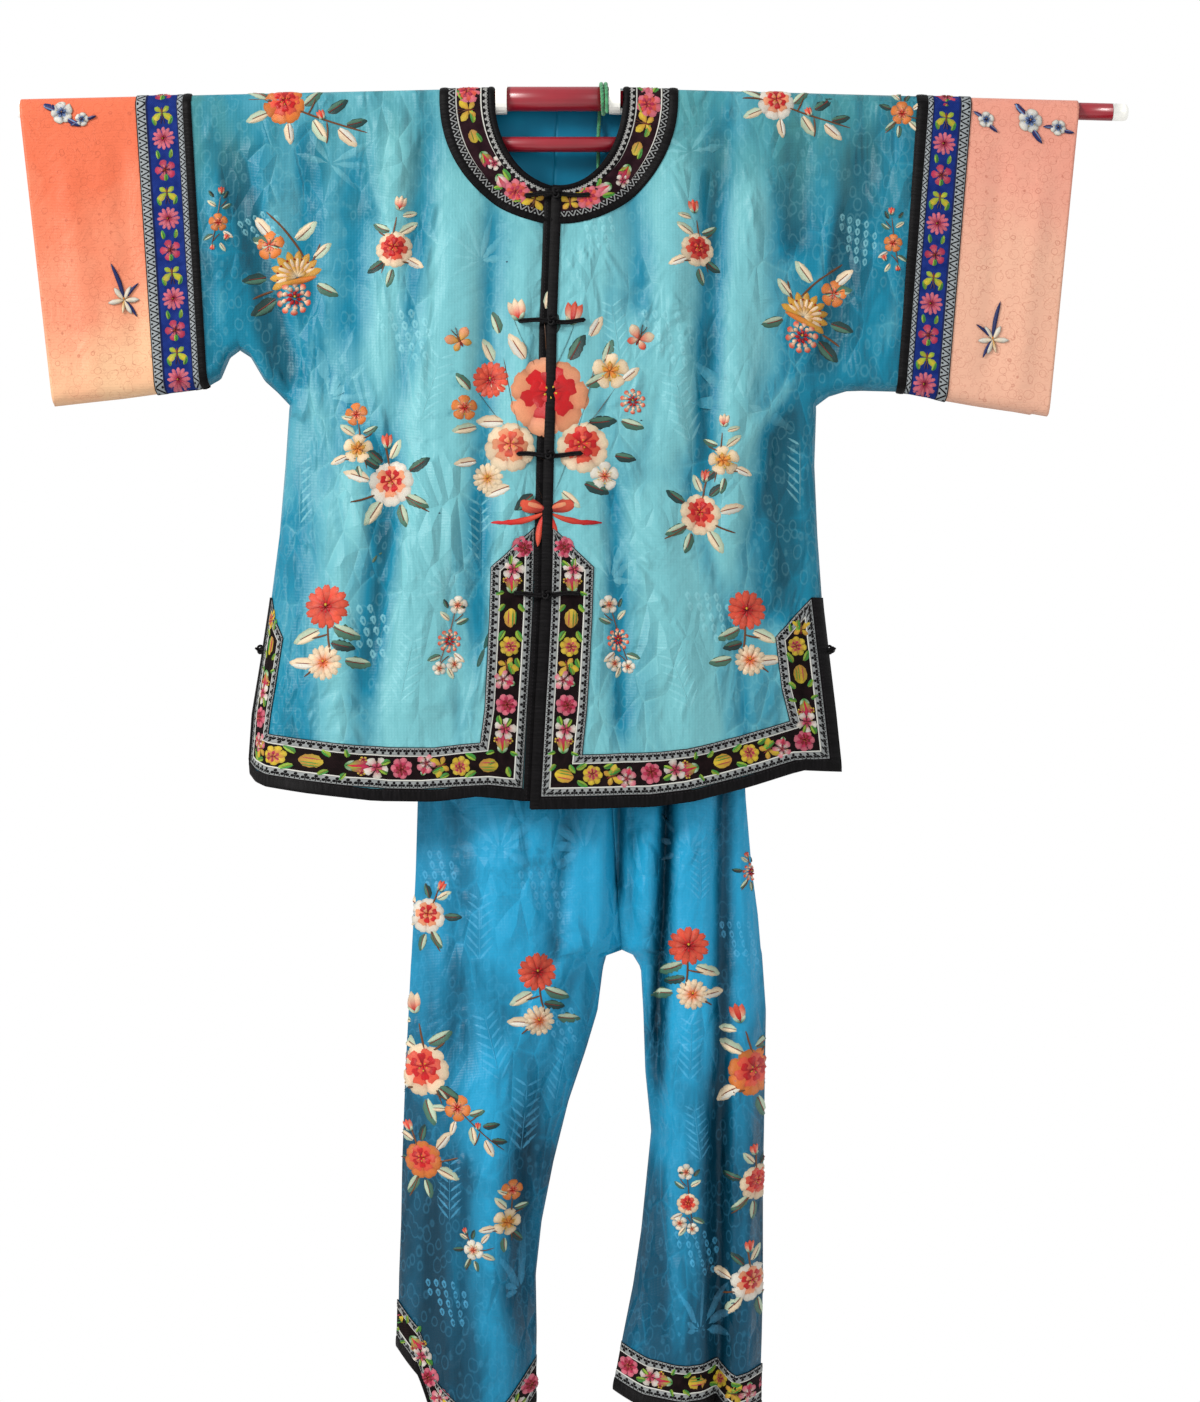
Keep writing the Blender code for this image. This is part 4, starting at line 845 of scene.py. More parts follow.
def twisted_tube(name, path, radius, material, pitch):
    """A two-strand cord: a tube whose section is two lobes, turning once along each pitch, with closed ends."""
    run = np.gradient(path, axis=0)
    length = np.r_[0, np.cumsum(np.linalg.norm(np.diff(path, axis=0), axis=1))]
    run /= np.linalg.norm(run, axis=1, keepdims=True)
    side_way = np.array([1.0, 0, 0]) - run[:, :1] * run
    side_way /= np.linalg.norm(side_way, axis=1, keepdims=True)
    other = np.cross(run, side_way)
    turn = np.linspace(0, 2 * math.pi, 14, endpoint=False)[None]
    lobes = radius * (0.62 + 0.38 * np.abs(np.cos(turn - length[:, None] / pitch * 2 * math.pi)) ** 0.8)
    lobes[0] = lobes[-1] = radius * 0.02
    spokes = np.cos(turn)[..., None] * side_way[:, None] + np.sin(turn)[..., None] * other[:, None]
    points = path[:, None] + lobes[..., None] * spokes
    faces = grid_faces(np.arange(points[..., 0].size).reshape(points.shape[:2]), True)
    lay = np.stack([length[:, None] + 0 * lobes, turn * radius + 0 * lobes], -1)
    return mesh_piece(name, points, faces, material, spokes, {"lay": lay})


def lay_of(start):
    """A piece's own map, and its two parts: the way along and the way across."""
    lay = start.node("ShaderNodeUVMap", {"uv_map": "lay"})
    parts = start.node("ShaderNodeSeparateXYZ", i0=lay)
    return lay, parts, Value(parts.tree, parts.socket.node.outputs[1])


def cord_cotton(name, dark, light):
    """Twisted yarn: fine slanting fibres along the cord's own map, with cloudy noise in the colour."""
    made, shader, start = new_material(name, 0.75, 0.3, 0.3)
    lay, run, across = lay_of(start)
    fibre = (run * 3200.0 + across * 2600.0).sine()
    cloud = lay.noise(160.0, 3.0)
    tone = (fibre * 0.2 + cloud).ramp((0.25, dark), (0.75, light))
    return finish_with(made, shader, tone, fibre * 0.3 + cloud, 0.6, 0.0006)


curve = flowing(route, 14)
green_cord = twisted_tube(
    "green_drawstring", curve, CORD_R, cord_cotton("green_cotton", (0.004, 0.09, 0.035), (0.06, 0.27, 0.11)),
    0.007
)
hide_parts("drawstring")

# The flower ribbon: a woven silk ribbon with small bright flowers on a black-brown ground and a pale
# edge of tiny clover leaves. It is sewn up both fronts to a point, along the hem and up each side slit.
BINDING, RIBBON_WIDE = 0.011, 0.041
INWARD = BINDING + RIBBON_WIDE
RIBBON_TOP, RIBBON_POINT, SLIT_TOP = -0.4315, 0.0395, -0.494
OPENING_EDGE = {-1: 0.0125, 1: 0.0095}
RIBBON_EDGE = 0.0092


def dense(path, step=0.004, counts=None):
    """A path's points with more between them, at about a step; the same counts keep two paths paired."""
    path = np.asarray(path, float)
    if counts is None:
        counts = np.maximum(np.ceil(np.linalg.norm(np.diff(path, axis=0), axis=1) / step), 1).astype(int)
    at = np.concatenate([i + np.arange(n) / n for i, n in enumerate(counts)] + [[len(path) - 1]])
    return np.stack([np.interp(at, np.arange(len(path)), path[:, c]) for c in range(2)], 1), counts


def flat_profile(columns, lift):
    """The same height all across a strip, at a number of places."""
    return [(share, lift) for share in np.linspace(0, 1, columns)]


def sewn_profile(lift):
    """A strip's height across it, a little lower at its two edges."""
    return [(0.0, lift - 0.0004), (0.06, lift), (0.5, lift), (0.94, lift), (1.0, lift - 0.0003)]


def strip(name, surface, outer, inner, profile, material, wide=None):
    """A band between two paired paths on a surface; its profile is pairs of a share across it and a height.

    Its own map runs along it and, from the outer path, across it, in metres.
    """
    outer, counts = dense(outer)
    inner, counts = dense(inner, counts=counts)
    share, lifts = np.array(profile).T
    share = share[:, None]
    places = outer[:, None] * (1 - share) + inner[:, None] * share
    points, normals = lift_off(surface, places[..., 0], places[..., 1], lifts[None])
    middle = (outer + inner) / 2
    run = np.r_[0, np.cumsum(np.linalg.norm(np.diff(middle, axis=0), axis=1))]
    wide = np.linalg.norm(inner - outer, axis=1) if wide is None else np.full(len(run), wide)
    lay = np.stack([run[:, None] + 0 * places[..., 0], wide[:, None] * share[:, 0]], -1)
    faces = grid_faces(np.arange(places[..., 0].size).reshape(places.shape[:2]))
    piece = mesh_piece(name, points, faces, material, normals, {"lay": lay})
    return piece


def inset(outline, amount):
    """A closed outline moved inwards: each corner along the sum of its two edges' normals, mitred."""
    edge = np.roll(outline, -1, 0) - outline
    normal = np.c_[-edge[:, 1], edge[:, 0]] / np.linalg.norm(edge, axis=1, keepdims=True)
    x, z = outline.T
    area = (x * np.roll(z, -1) - np.roll(x, -1) * z).sum()
    normal *= np.sign(area)
    before = np.roll(normal, 1, 0)
    mitre = (normal + before) / (1 + (normal * before).sum(1, keepdims=True))
    return outline + mitre * amount


def ribbon_ground(name, colour, light):
    """A close warp-faced ground: fine ribs across the ribbon and a faint broken twill."""
    made, shader, start = new_material(name, 0.65, 0.0, 0.04)
    lay, run, across = lay_of(start)
    rib = (run * 7000.0).sine()
    twill = ((run + across) * 3500.0).sine()
    cloud = lay.noise(120.0, 3.0)
    tone = (rib * 0.12 + twill * 0.12 + cloud).ramp((0.3, colour), (0.8, light))
    return finish_with(made, shader, tone, rib * 0.5 + twill * 0.3, 0.5, 0.0003)


def ribbon_border(name, ground, figure, line, pitch, clover):
    """A ribbon's edge from its own map: an outer line, a row of tiny figures, then a bright inner line.

    A figure is three round spots and a short stem in each pitch, or a zigzag with a spot in each turn.
    """
    made, shader, start = new_material(name, 0.65, 0.0, 0.05)
    lay, run, across = lay_of(start)
    along = run.maths("FRACT", run / pitch) - 0.5
    up = (across - 0.0042) / pitch

    def spot(x, y, size):
        squares = (along - x) * (along - x) + (up - y) * (up - y)
        return squares.maths("SQRT", squares).above(size, size * 0.75)

    if clover:
        mark = spot(0.0, 0.24, 0.21) + spot(-0.25, -0.08, 0.21) + spot(0.25, -0.08, 0.21)
        mark = mark + along.abs().above(0.07, 0.04) * up.abs().above(0.42, 0.38) + spot(0.5, -0.28, 0.10) + spot(
            -0.5, -0.28, 0.10
        )
    else:
        zigzag = (along.abs() * 1.6 - 0.4 - up).abs().above(0.15, 0.09)
        mark = zigzag + spot(0.0, 0.25, 0.12) + spot(0.5, -0.25, 0.12) + spot(-0.5, -0.25, 0.12)
    mark = mark.above(0.2, 0.5) * across.above(0.0010, 0.0013) * across.above(0.0078, 0.0074)
    cloud = lay.noise(200.0, 3.0)
    base = cloud.ramp((0.3, tuple(0.75 * c for c in ground)), (0.7, ground))
    tone = mark.mix(base, figure)
    dark = across.above(0.0010, 0.0007) + across.above(0.0076, 0.0078)
    tone = dark.mix(tone, (0.006, 0.004, 0.005))
    tone = (across.above(0.0079, 0.0081)).mix(tone, line)
    rib = (run * 9000.0).sine()
    return finish_with(made, shader, tone, rib * 0.4 + mark, 0.5, 0.0003)


# Petals are rows of: x, y, angle, length, width, belly, blunt, bend, frill, lift, colour at base and at tip.
CREAM, PEACH, CORAL, ORANGE = (0.55, 0.44, 0.30), (0.54, 0.22, 0.110), (0.50, 0.062, 0.030), (0.48, 0.13, 0.020)
RED, WINE, GOLD, YELLOW = (0.40, 0.003, 0.006), (0.15, 0.001, 0.003), (0.42, 0.21, 0.025), (0.44, 0.32, 0.015)
PINK, ROSE, WHITE, NAVY = (0.46, 0.10, 0.14), (0.34, 0.014, 0.055), (0.50, 0.48, 0.42), (0.004, 0.012, 0.08)
LEAF, PALE_LEAF, DARK_LEAF = (0.040, 0.110, 0.075), (0.33, 0.40, 0.29), (0.006, 0.032, 0.030)
RIB = (0.16, 0.018, 0.010)
GREEN, LIME, BROWN = (0.03, 0.20, 0.025), (0.20, 0.32, 0.025), (0.10, 0.035, 0.010)


def petal(x, y, angle, length, width, base, tip, lift=0.0, belly=1.0, blunt=0.8, bend=0.0, frill=0.0):
    return np.array([[x, y, angle, length, width, belly, blunt, bend, frill, lift, *base, *tip]])


def ring_of(
    count, length, width, base, tip, lift=0.0, start=90.0, sweep=360.0, inner=0.0, belly=1.5, blunt=0.7,
    frill=0.0
):
    """Petals set round a centre, evenly over a sweep."""
    full = abs(sweep) >= 360
    angle = start + (np.arange(count) / count if full else np.linspace(-0.5, 0.5, count)) * sweep
    rows = np.repeat(petal(0, 0, 0, length, width, base, tip, lift, belly, blunt, 0, frill), count, 0)
    rows[:, 0], rows[:, 1] = inner * np.cos(np.radians(angle)), inner * np.sin(np.radians(angle))
    rows[:, 2] = angle
    return rows


def turned(rows, x=0.0, y=0.0, angle=0.0, size=1.0, flip=False):
    """Petal rows moved, turned and resized; flipped left to right first if asked."""
    rows = rows.copy()
    if flip:
        rows[:, 0] *= -1
        rows[:, 2] = 180 - rows[:, 2]
        rows[:, 7] *= -1
    c, s = math.cos(math.radians(angle)), math.sin(math.radians(angle))
    px, py = rows[:, 0].copy(), rows[:, 1].copy()
    rows[:, 0] = x + size * (px * c - py * s)
    rows[:, 1] = y + size * (px * s + py * c)
    rows[:, 2] += angle
    rows[:, 3:5] *= size
    return rows


def leaf(x, y, angle, length, width, one=LEAF, other=PALE_LEAF, lift=0.0):
    """A leaf: a dark blade, a paler half over it and a fine rib."""
    side = np.radians(angle + 90)
    shift = width * 0.17
    return np.r_[
        petal(x, y, angle, length, width, one, one, lift, 0.85, 0.8, 0.0, 0.06),
        petal(
            x + shift * math.cos(side), y + shift * math.sin(side), angle, length * 0.92, width * 0.5, other,
            other, lift + 0.0002, 0.9, 0.9
        ),
        petal(x, y, angle, length * 0.80, width * 0.10, RIB, RIB, lift + 0.0004, 1.0, 0.3),
    ]


def stem(x, y, angle, length, bend, colour=BROWN, width=0.11):
    return petal(x, y, angle, length, width, colour, colour, -0.0002, 1.0, 0.15, bend)


def peony(outer=CREAM, edge=PEACH, heart=RED):
    """A full flower: broad ruffled pale petals below, coral ones above them, a deep red crumpled heart, gold eyes."""
    return np.r_[
        ring_of(7, 1.05, 0.92, edge, outer, 0.0, 105, belly=2.5, blunt=0.45, frill=0.07),
        turned(ring_of(6, 0.80, 0.78, heart, edge, 0.0003, 75, belly=2.4, blunt=0.45, frill=0.08), 0.0, 0.10),
        turned(ring_of(6, 0.60, 0.58, WINE, heart, 0.0006, 100, belly=2.2, blunt=0.45, frill=0.10), 0.03, 0.14),
        turned(ring_of(4, 0.36, 0.38, heart, edge, 0.0009, 60, belly=1.9, blunt=0.5, frill=0.10), 0.03, 0.14),
        turned(ring_of(5, 0.09, 0.09, GOLD, YELLOW, 0.0012, 60, inner=0.10), 0.03, 0.12),
    ]


def daisy(outer, inner, heart, count=15):
    """A ragged flower: many blunt petals in two rings, brighter at the tips, round a small heart."""
    return np.r_[
        ring_of(count, 1.0, 0.42, inner, outer, 0.0, 90, belly=2.4, blunt=0.5, frill=0.10),
        ring_of(count - 4, 0.74, 0.40, heart, outer, 0.0003, 84, belly=2.2, blunt=0.5, frill=0.10),
        ring_of(8, 0.32, 0.18, heart, inner, 0.0006, 90, belly=1.9),
        ring_of(1, 0.16, 0.16, GOLD, YELLOW, 0.0009, 90),
    ]


def plum(outer, inner, heart):
    """Five round petals, with a darker eye and a ring of stamens."""
    return np.r_[
        ring_of(5, 1.0, 0.94, inner, outer, 0.0, 90, belly=2.2, blunt=0.45, frill=0.05),
        ring_of(5, 0.52, 0.40, heart, inner, 0.0003, 90),
        ring_of(10, 0.46, 0.05, heart, heart, 0.0005, 72, blunt=0.3),
        ring_of(6, 0.09, 0.11, YELLOW, YELLOW, 0.0008, 90, inner=0.44),
        ring_of(1, 0.20, 0.22, GOLD, heart, 0.0008, 90),
    ]


def ringed(outer=CORAL, inner=CREAM, heart=RED):
    """A round flower of three rings of short petals round a gold eye."""
    return np.r_[
        ring_of(10, 0.45, 0.42, inner, outer, 0.0, 90, inner=0.55),
        ring_of(9, 0.36, 0.30, RED, inner, 0.0003, 75, inner=0.32),
        ring_of(7, 0.32, 0.24, WINE, heart, 0.0005, 90, inner=0.08),
        ring_of(1, 0.16, 0.18, GOLD, YELLOW, 0.0009, 90),
    ]


def bud(outer=CORAL, inner=CREAM, cup=LEAF):
    """Three closed petals on two small green cups."""
    return np.r_[
        petal(0, 0, 70, 1.0, 0.50, inner, outer, 0.0, 0.9, 0.8),
        petal(0, 0, 110, 1.0, 0.50, inner, outer, 0.0001, 0.9, 0.8),
        petal(0, 0, 90, 1.05, 0.48, RED, outer, 0.0004, 0.9, 0.8),
        petal(0, -0.1, 50, 0.5, 0.22, cup, PALE_LEAF, 0.0006),
        petal(0, -0.1, 130, 0.5, 0.22, cup, PALE_LEAF, 0.0006),
    ]


def half_round(outer=GOLD, inner=CREAM, heart=ORANGE):
    """A cut-open citron: a gold half round of narrow fingers over a cream one, with dark seeds along its edge."""
    return np.r_[
        ring_of(9, 1.0, 0.34, outer, outer, 0.0, 90, 190, belly=1.5, blunt=0.6),
        ring_of(9, 0.78, 0.20, heart, inner, 0.0003, 90, 170, belly=1.4),
        ring_of(7, 0.45, 0.22, inner, outer, 0.0005, 90, 170),
        ring_of(8, 0.08, 0.10, RED, WINE, 0.0007, 90, 160, inner=0.62),
        petal(-0.75, -0.05, -8, 1.5, 0.26, outer, heart, 0.0006, 1.0, 0.5),
    ]


def butterfly(wing, spot_colour):
    """Four wings, a dark body and two feelers."""
    return np.r_[
        petal(0, 0, 40, 1.0, 0.70, spot_colour, wing, 0.0, 1.4, 0.7),
        petal(0, 0, 140, 1.0, 0.70, spot_colour, wing, 0.0, 1.4, 0.7),
        petal(0, 0, -35, 0.7, 0.50, wing, spot_colour, 0.0002, 1.4, 0.7),
        petal(0, 0, 215, 0.7, 0.50, wing, spot_colour, 0.0002, 1.4, 0.7),
        petal(0, -0.4, 90, 0.9, 0.16, WINE, BROWN, 0.0005, 1.0, 0.5),
        petal(0, 0.35, 65, 0.6, 0.05, BROWN, BROWN, 0.0004, 1.0, 0.2, 0.2),
        petal(0, 0.35, 115, 0.6, 0.05, BROWN, BROWN, 0.0004, 1.0, 0.2, -0.2),
    ]


def motif_points(surface, rows, lift, rim, fine, dome=0.0004):
    """Petals as grids on a surface, t along each and s across it, both closed down onto the cloth.

    Half the width is the sine of pi times t to the belly, to the blunt, times half the width there; the
    middle line bends by t squared; a frill waves the tip. The height is the lift plus a dome over the
    middle, and falls to the rim at the sides and ends.
    """
    steps, sides = fine
    x, y, angle, length, width, belly, blunt, bend, frill, up = (rows[:, i, None, None] for i in range(10))
    t = (0.5 - 0.5 * np.cos(np.linspace(0, math.pi, steps)))[None, :, None]
    s = np.linspace(-1, 1, sides)[None, None]
    half = np.sin(math.pi * np.clip(t, 0.002, 0.998) ** belly) ** blunt / 2
    half = half * (1 + frill * np.cos(t * 19)) * width
    run = t * length * (1 - frill * np.cos(s * 9) * t * 0.5 - 0.03 * s * s * t)
    across = s * half + bend * length * t * t
    turn = np.radians(angle)
    px = x + run * np.cos(turn) - across * np.sin(turn)
    pz = y + run * np.sin(turn) + across * np.cos(turn)
    inside = np.sqrt(np.clip(1 - s**4, 0, 1)) * np.clip(np.sin(math.pi * t) * 2.2, 0, 1)
    height = rim + (lift + up + dome * (1 - s * s) - rim) * inside
    points, normals = lift_off(surface, px, pz, height)
    base, tip = rows[:, None, None, 10:13], rows[:, None, None, 13:16]
    shade = smooth(t * 1.15)[..., None]
    speck = np.random.default_rng(len(rows)).uniform(0.82, 1.12, (len(rows), 1, 1, 1))
    # Painted shade: each petal darkens towards its sides and tip, so that petals laid over one another stand apart.
    edge = 1 - 0.42 * np.maximum(np.abs(s[..., None]) ** 5, t[..., None] ** 12)
    tint = (base + (tip - base) * shade) * speck * edge + 0 * px[..., None]
    lay = np.stack([s * half + 0 * px, run + 0 * px], -1)
    index = np.arange(px.size).reshape(px.shape)
    quads = [index[:, :-1, :-1], index[:, :-1, 1:], index[:, 1:, 1:], index[:, 1:, :-1]]
    return points, np.stack(quads, -1).reshape(-1, 4), normals, tint, lay


def motifs(name, surface, rows, material, lift=0.0006, rim=-0.0002, fine=(9, 5), dome=0.0004):
    """One object for a set of petals."""
    points, faces, normals, tint, lay = motif_points(surface, rows, lift, rim, fine, dome)
    piece = mesh_piece(name, points, faces, material, normals, {"tint": tint, "lay": lay})
    return piece


def thread_work(name, pitch, rough):
    """Satin stitch: floss laid along each petal, its strands a pitch apart on the petal's own map."""
    made, shader, start = new_material(name, rough, 0.0, 0.2)
    tint = start.node("ShaderNodeAttribute", {"attribute_name": "tint"})
    run = lay_of(start)[1]
    strand = (run * (2 * math.pi / pitch)).sine()
    cloud = start.node("ShaderNodeTexCoord", out=3).noise(900.0, 2.0)
    dark = (strand * -0.12 + (cloud - 0.5) * 0.5).above(-0.2, 0.5) * 0.45
    tone = dark.mix(tint, (0.02, 0.012, 0.010))
    return finish_with(made, shader, tone, strand * 0.5 + cloud, 0.5, 0.0003)


def woven_flowers(name, surface, rows, lift=0.0011):
    """A ribbon's flowers: the same petals, coarser and lower."""
    return motifs(name, surface, rows, woven_thread, lift, lift - 0.0005, (7, 3), 0.0003)


silk_thread = thread_work("silk_thread", 0.0006, 0.38)
woven_thread = thread_work("woven_thread", 0.0005, 0.5)
ribbon_black = ribbon_ground("ribbon_black", (0.0022, 0.0010, 0.0012), (0.010, 0.0045, 0.005))
clover_edge = ribbon_border(
    "clover_edge", (0.20, 0.21, 0.21), (0.003, 0.0025, 0.003), (0.40, 0.40, 0.37), 0.0076, True
)


def blade(length, width, one=GREEN, other=LIME):
    """A ribbon's leaf, of two tones."""
    return leaf(0, 0, 0, length, width, one, other)


def melon(*streaks):
    """A yellow fruit with thin streaks, each at a height and of a length, width and colour."""
    fruit = petal(-0.85, 0, 0, 1.7, 1.5, YELLOW, GOLD, 0, 1.0, 0.4)
    return np.r_[fruit, *[petal(x, y, 0, long, wide, c, c, 0.0004) for x, y, long, wide, c in streaks]]


# One repeat of the ribbon's flowers: distance along it, distance across, size, turn, flower. Millimetres.
REPEAT = 0.170
RIBBON_FLOWERS = [
    (12, 0, 11.6, 0, peony(PINK, ROSE, WINE)),
    (26, 6, 10.8, -30, blade(1.2, 0.8)),
    (24, -8, 10.8, 20, blade(1.2, 0.8)),
    (38, 1, 12.8, 10, plum(WHITE, PINK, ROSE)),
    (50, 7, 3.6, 0, plum(YELLOW, PINK, RED)),
    (50, -7, 3.6, 0, plum(YELLOW, PINK, RED)),
    (48, 0, 12.2, 0, blade(1.1, 0.7)),
    (62, 0, 18.0, 90, bud(ROSE, LIME, GREEN)),
    (62, 8, 9.5, 70, blade(1.1, 0.7)),
    (62, -8, 9.5, -70, blade(1.1, 0.7)),
    (75, 7, 10.8, 40, blade(1.1, 0.7, LIME, GREEN)),
    (75, -7, 10.8, -40, blade(1.1, 0.7, LIME, GREEN)),
    (
        90, 0, 13.0, 0,
        melon((-0.7, 0.15, 1.5, 0.18, GREEN), (-0.7, -0.2, 1.4, 0.16, ROSE), (-0.6, 0.38, 1.2, 0.12, GREEN))
    ),
    (103, 6, 12.2, 30, blade(1.2, 0.7, LIME, GREEN)),
    (103, -6, 12.2, -30, blade(1.2, 0.7)),
    (120, 0, 10.8, 0, peony(YELLOW, GOLD, ROSE)),
    (132, 7, 10.8, 20, blade(1.1, 0.7)),
    (140, -2, 14.4, -70, butterfly(YELLOW, GOLD)),
    (150, 6, 13.5, 200, blade(1.3, 0.7, LIME, GREEN)),
    (156, -5, 11.6, 15, plum(PINK, WHITE, ROSE)),
    (160, 7, 9.6, 160, bud(ROSE, PINK, GREEN)),
]


def along_path(path, at):
    """Places and directions on a path at distances from its start."""
    run = np.r_[0, np.cumsum(np.linalg.norm(np.diff(path, axis=0), axis=1))]
    place = np.stack([np.interp(at, run, path[:, c]) for c in range(2)], -1)
    ahead = np.stack([np.interp(at + 0.004, run, path[:, c]) for c in range(2)], -1)
    behind = np.stack([np.interp(at - 0.004, run, path[:, c]) for c in range(2)], -1)
    step = ahead - behind
    return place, np.degrees(np.arctan2(step[..., 1], step[..., 0])), run[-1]


def flowers_along(path, flowers, repeat, scale=1.0, shift=0.0, margin=0.008):
    """A ribbon's flowers repeated along a path, each turned with it."""
    rows = []
    length = along_path(path, np.array(0.0))[2]
    for number in range(-1, int(length / (repeat * scale)) + 2):
        for at, across, size, turn, flower in flowers:
            run = (at / 1000 + repeat * number) * scale + shift
            if margin < run < length - margin:
                place, angle, _ = along_path(path, np.array(run))
                side = math.radians(angle + 90)
                x = place[0] + across / 1000 * scale * math.cos(side)
                z = place[1] + across / 1000 * scale * math.sin(side)
                rows.append(turned(flower, x, z, angle + turn, size / 1000 * scale))
    return np.concatenate(rows)


def ribbon_lay(side, back):
    """Paired outer and inner edges of a quarter's ribbon: down from its point, along the hem, up the slit."""
    lap, column = lap_of(side, back), SIDE_COLUMN[side]
    edge = 0 if back else OPENING_EDGE[side]
    outer, inner = [], []
    if not back:
        for z in (RIBBON_TOP, -0.471, -0.52, -0.57, -0.61):
            centre = read(z, LINES, 1) + lap + side * edge
            outer.append((centre, z))
            inner.append((centre + side * RIBBON_WIDE * min((RIBBON_TOP - z) / RIBBON_POINT, 1), z))
    centre = read(-0.70, LINES, 1) + lap + side * edge
    far = read(-0.655, LINES, column)
    inside = centre + side * (RIBBON_WIDE if not back else 0.0)
    for share in np.linspace(0, 1, 9):
        x = centre + (far - side * BINDING - centre) * share
        y = inside + (far - side * INWARD - inside) * share
        outer.append((x, hem_height(x, side, back) + BINDING))
        inner.append((y, hem_height(y, side, back) + INWARD))
    for z in (-0.585, -0.535, SLIT_TOP):
        x = read(z, LINES, column)
        outer.append((x - side * BINDING, z))
        inner.append((x - side * (INWARD if z < -0.53 else BINDING), z))
    return np.array(outer), np.array(inner)


def carried(path, back):
    """A path on the front as it is, or carried over the rod to the back."""
    return path * [1.0, -1.0] + [0.0, 2 * ARC] if back else path


def on_side(side):
    """The jacket as ribbon and binding are laid on it: the right side's slit edge is turned back."""

    def front(x, w):
        x = turned_back(x, w) if side < 0 else x
        return jacket(x, w, side < 0)

    def behind(x, w):
        x = turned_back(x, 2 * ARC - w) if side < 0 else x
        return jacket(x, w)

    return front, behind


for side, word in SIDES:
    for back, face in FACES:
        surface = on_side(side)[int(back)]
        outer, inner = ribbon_lay(side, back)
        ground = strip(
            f"flower_ribbon_{face}_{word}", surface, carried(outer, back), carried(inner, back),
            flat_profile(11, 0.0008), ribbon_black,
        )
        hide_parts(f"ribbon_{face}_{word}")
        outline = np.r_[outer, inner[::-1]]
        keep = np.r_[True, np.linalg.norm(np.diff(outline, axis=0), axis=1) > 1e-4]
        keep[-1] &= np.linalg.norm(outline[-1] - outline[0]) > 1e-4
        outline = outline[keep]
        rim, line = inset(outline, 0.0), inset(outline, RIBBON_EDGE)
        rim, line = np.r_[rim, rim[:1]], np.r_[line, line[:1]]
        strip(
            f"clover_edge_{face}_{word}", surface, carried(rim, back), carried(line, back),
            sewn_profile(0.0011), clover_edge, RIBBON_EDGE,
        )
        middle, _ = dense((outer + inner) / 2)
        shift, margin = (0.05, 0.006) if back else (0.012, 0.022)
        rows = flowers_along(middle, RIBBON_FLOWERS, REPEAT, 0.92, shift, margin)
        if back:
            rows[:, 1] = 2 * ARC - rows[:, 1]
            rows[:, 2] *= -1
        woven_flowers(f"ribbon_flowers_{face}_{word}", surface, rows)

# The black satin binding: a bias strip folded over the opening, the hem and the side slits, sewn by hand.


def satin(name, colour, light):
    """Black satin: fine ribs along the strip and small puckers where it is stitched down."""
    made, shader, start = new_material(name, 0.45, 0.0, 0.06)
    lay, run, across = lay_of(start)
    pucker = lay.stretched((420.0, 60.0, 1.0)).noise(1.0, 2.0)
    stitch = (run * 1800.0).sine().above(0.3, 0.8) * (across.above(0.0088, 0.0092) * across.above(0.0102, 0.0098))
    tone = (pucker * 0.8 + stitch * 0.5).ramp((0.3, colour), (0.9, light))
    return finish_with(made, shader, tone, (across * 9000.0).sine() * 0.1 + pucker - stitch * 0.6, 0.6, 0.0008)


black_satin = satin("black_satin", (0.0012, 0.0010, 0.0012), (0.008, 0.007, 0.008))
# Across the binding: round the cloth's edge, then over its face to the sewn side.
FOLDED = [
    (-0.05, -0.0018), (-0.09, -0.0008), (-0.08, 0.0006), (0.0, 0.0014), (0.15, 0.0017), (0.4, 0.0018),
    (0.7, 0.0017), (0.93, 0.0014), (1.0, 0.0006),
]
for side, word in SIDES:
    for back, face in FACES:
        surface = on_side(side)[int(back)]
        lap, column = lap_of(side, back), SIDE_COLUMN[side]
        edge = BINDING if back else OPENING_EDGE[side]
        start, end = read(-0.70, LINES, 1) + lap, read(-0.655, LINES, column)
        x = np.linspace(start, end, 26)
        hem = hem_height(x, side, back)
        z = np.linspace(hem[-1] + BINDING, SLIT_TOP, 14)
        line = read(z, LINES, column)
        low = np.r_[np.c_[x, hem], np.c_[line, z]]
        x[-1] = end - side * BINDING
        high = np.r_[np.c_[x, hem + BINDING], np.c_[line - side * BINDING, z]]
        hem_piece = strip(
            f"hem_binding_{face}_{word}", surface, carried(low, back), carried(high, back),
            FOLDED, black_satin,
        )
        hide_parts(f"binding_{face}_{word}")
        if not back:
            z = np.linspace(-0.0925, hem[0], 40)
            centre = read(z, LINES, 1) + lap
            strip(
                f"opening_binding_{word}", surface, np.c_[centre, z], np.c_[centre + side * edge, z],
                [(share, lift + 0.0003) for share, lift in FOLDED], black_satin,
            )

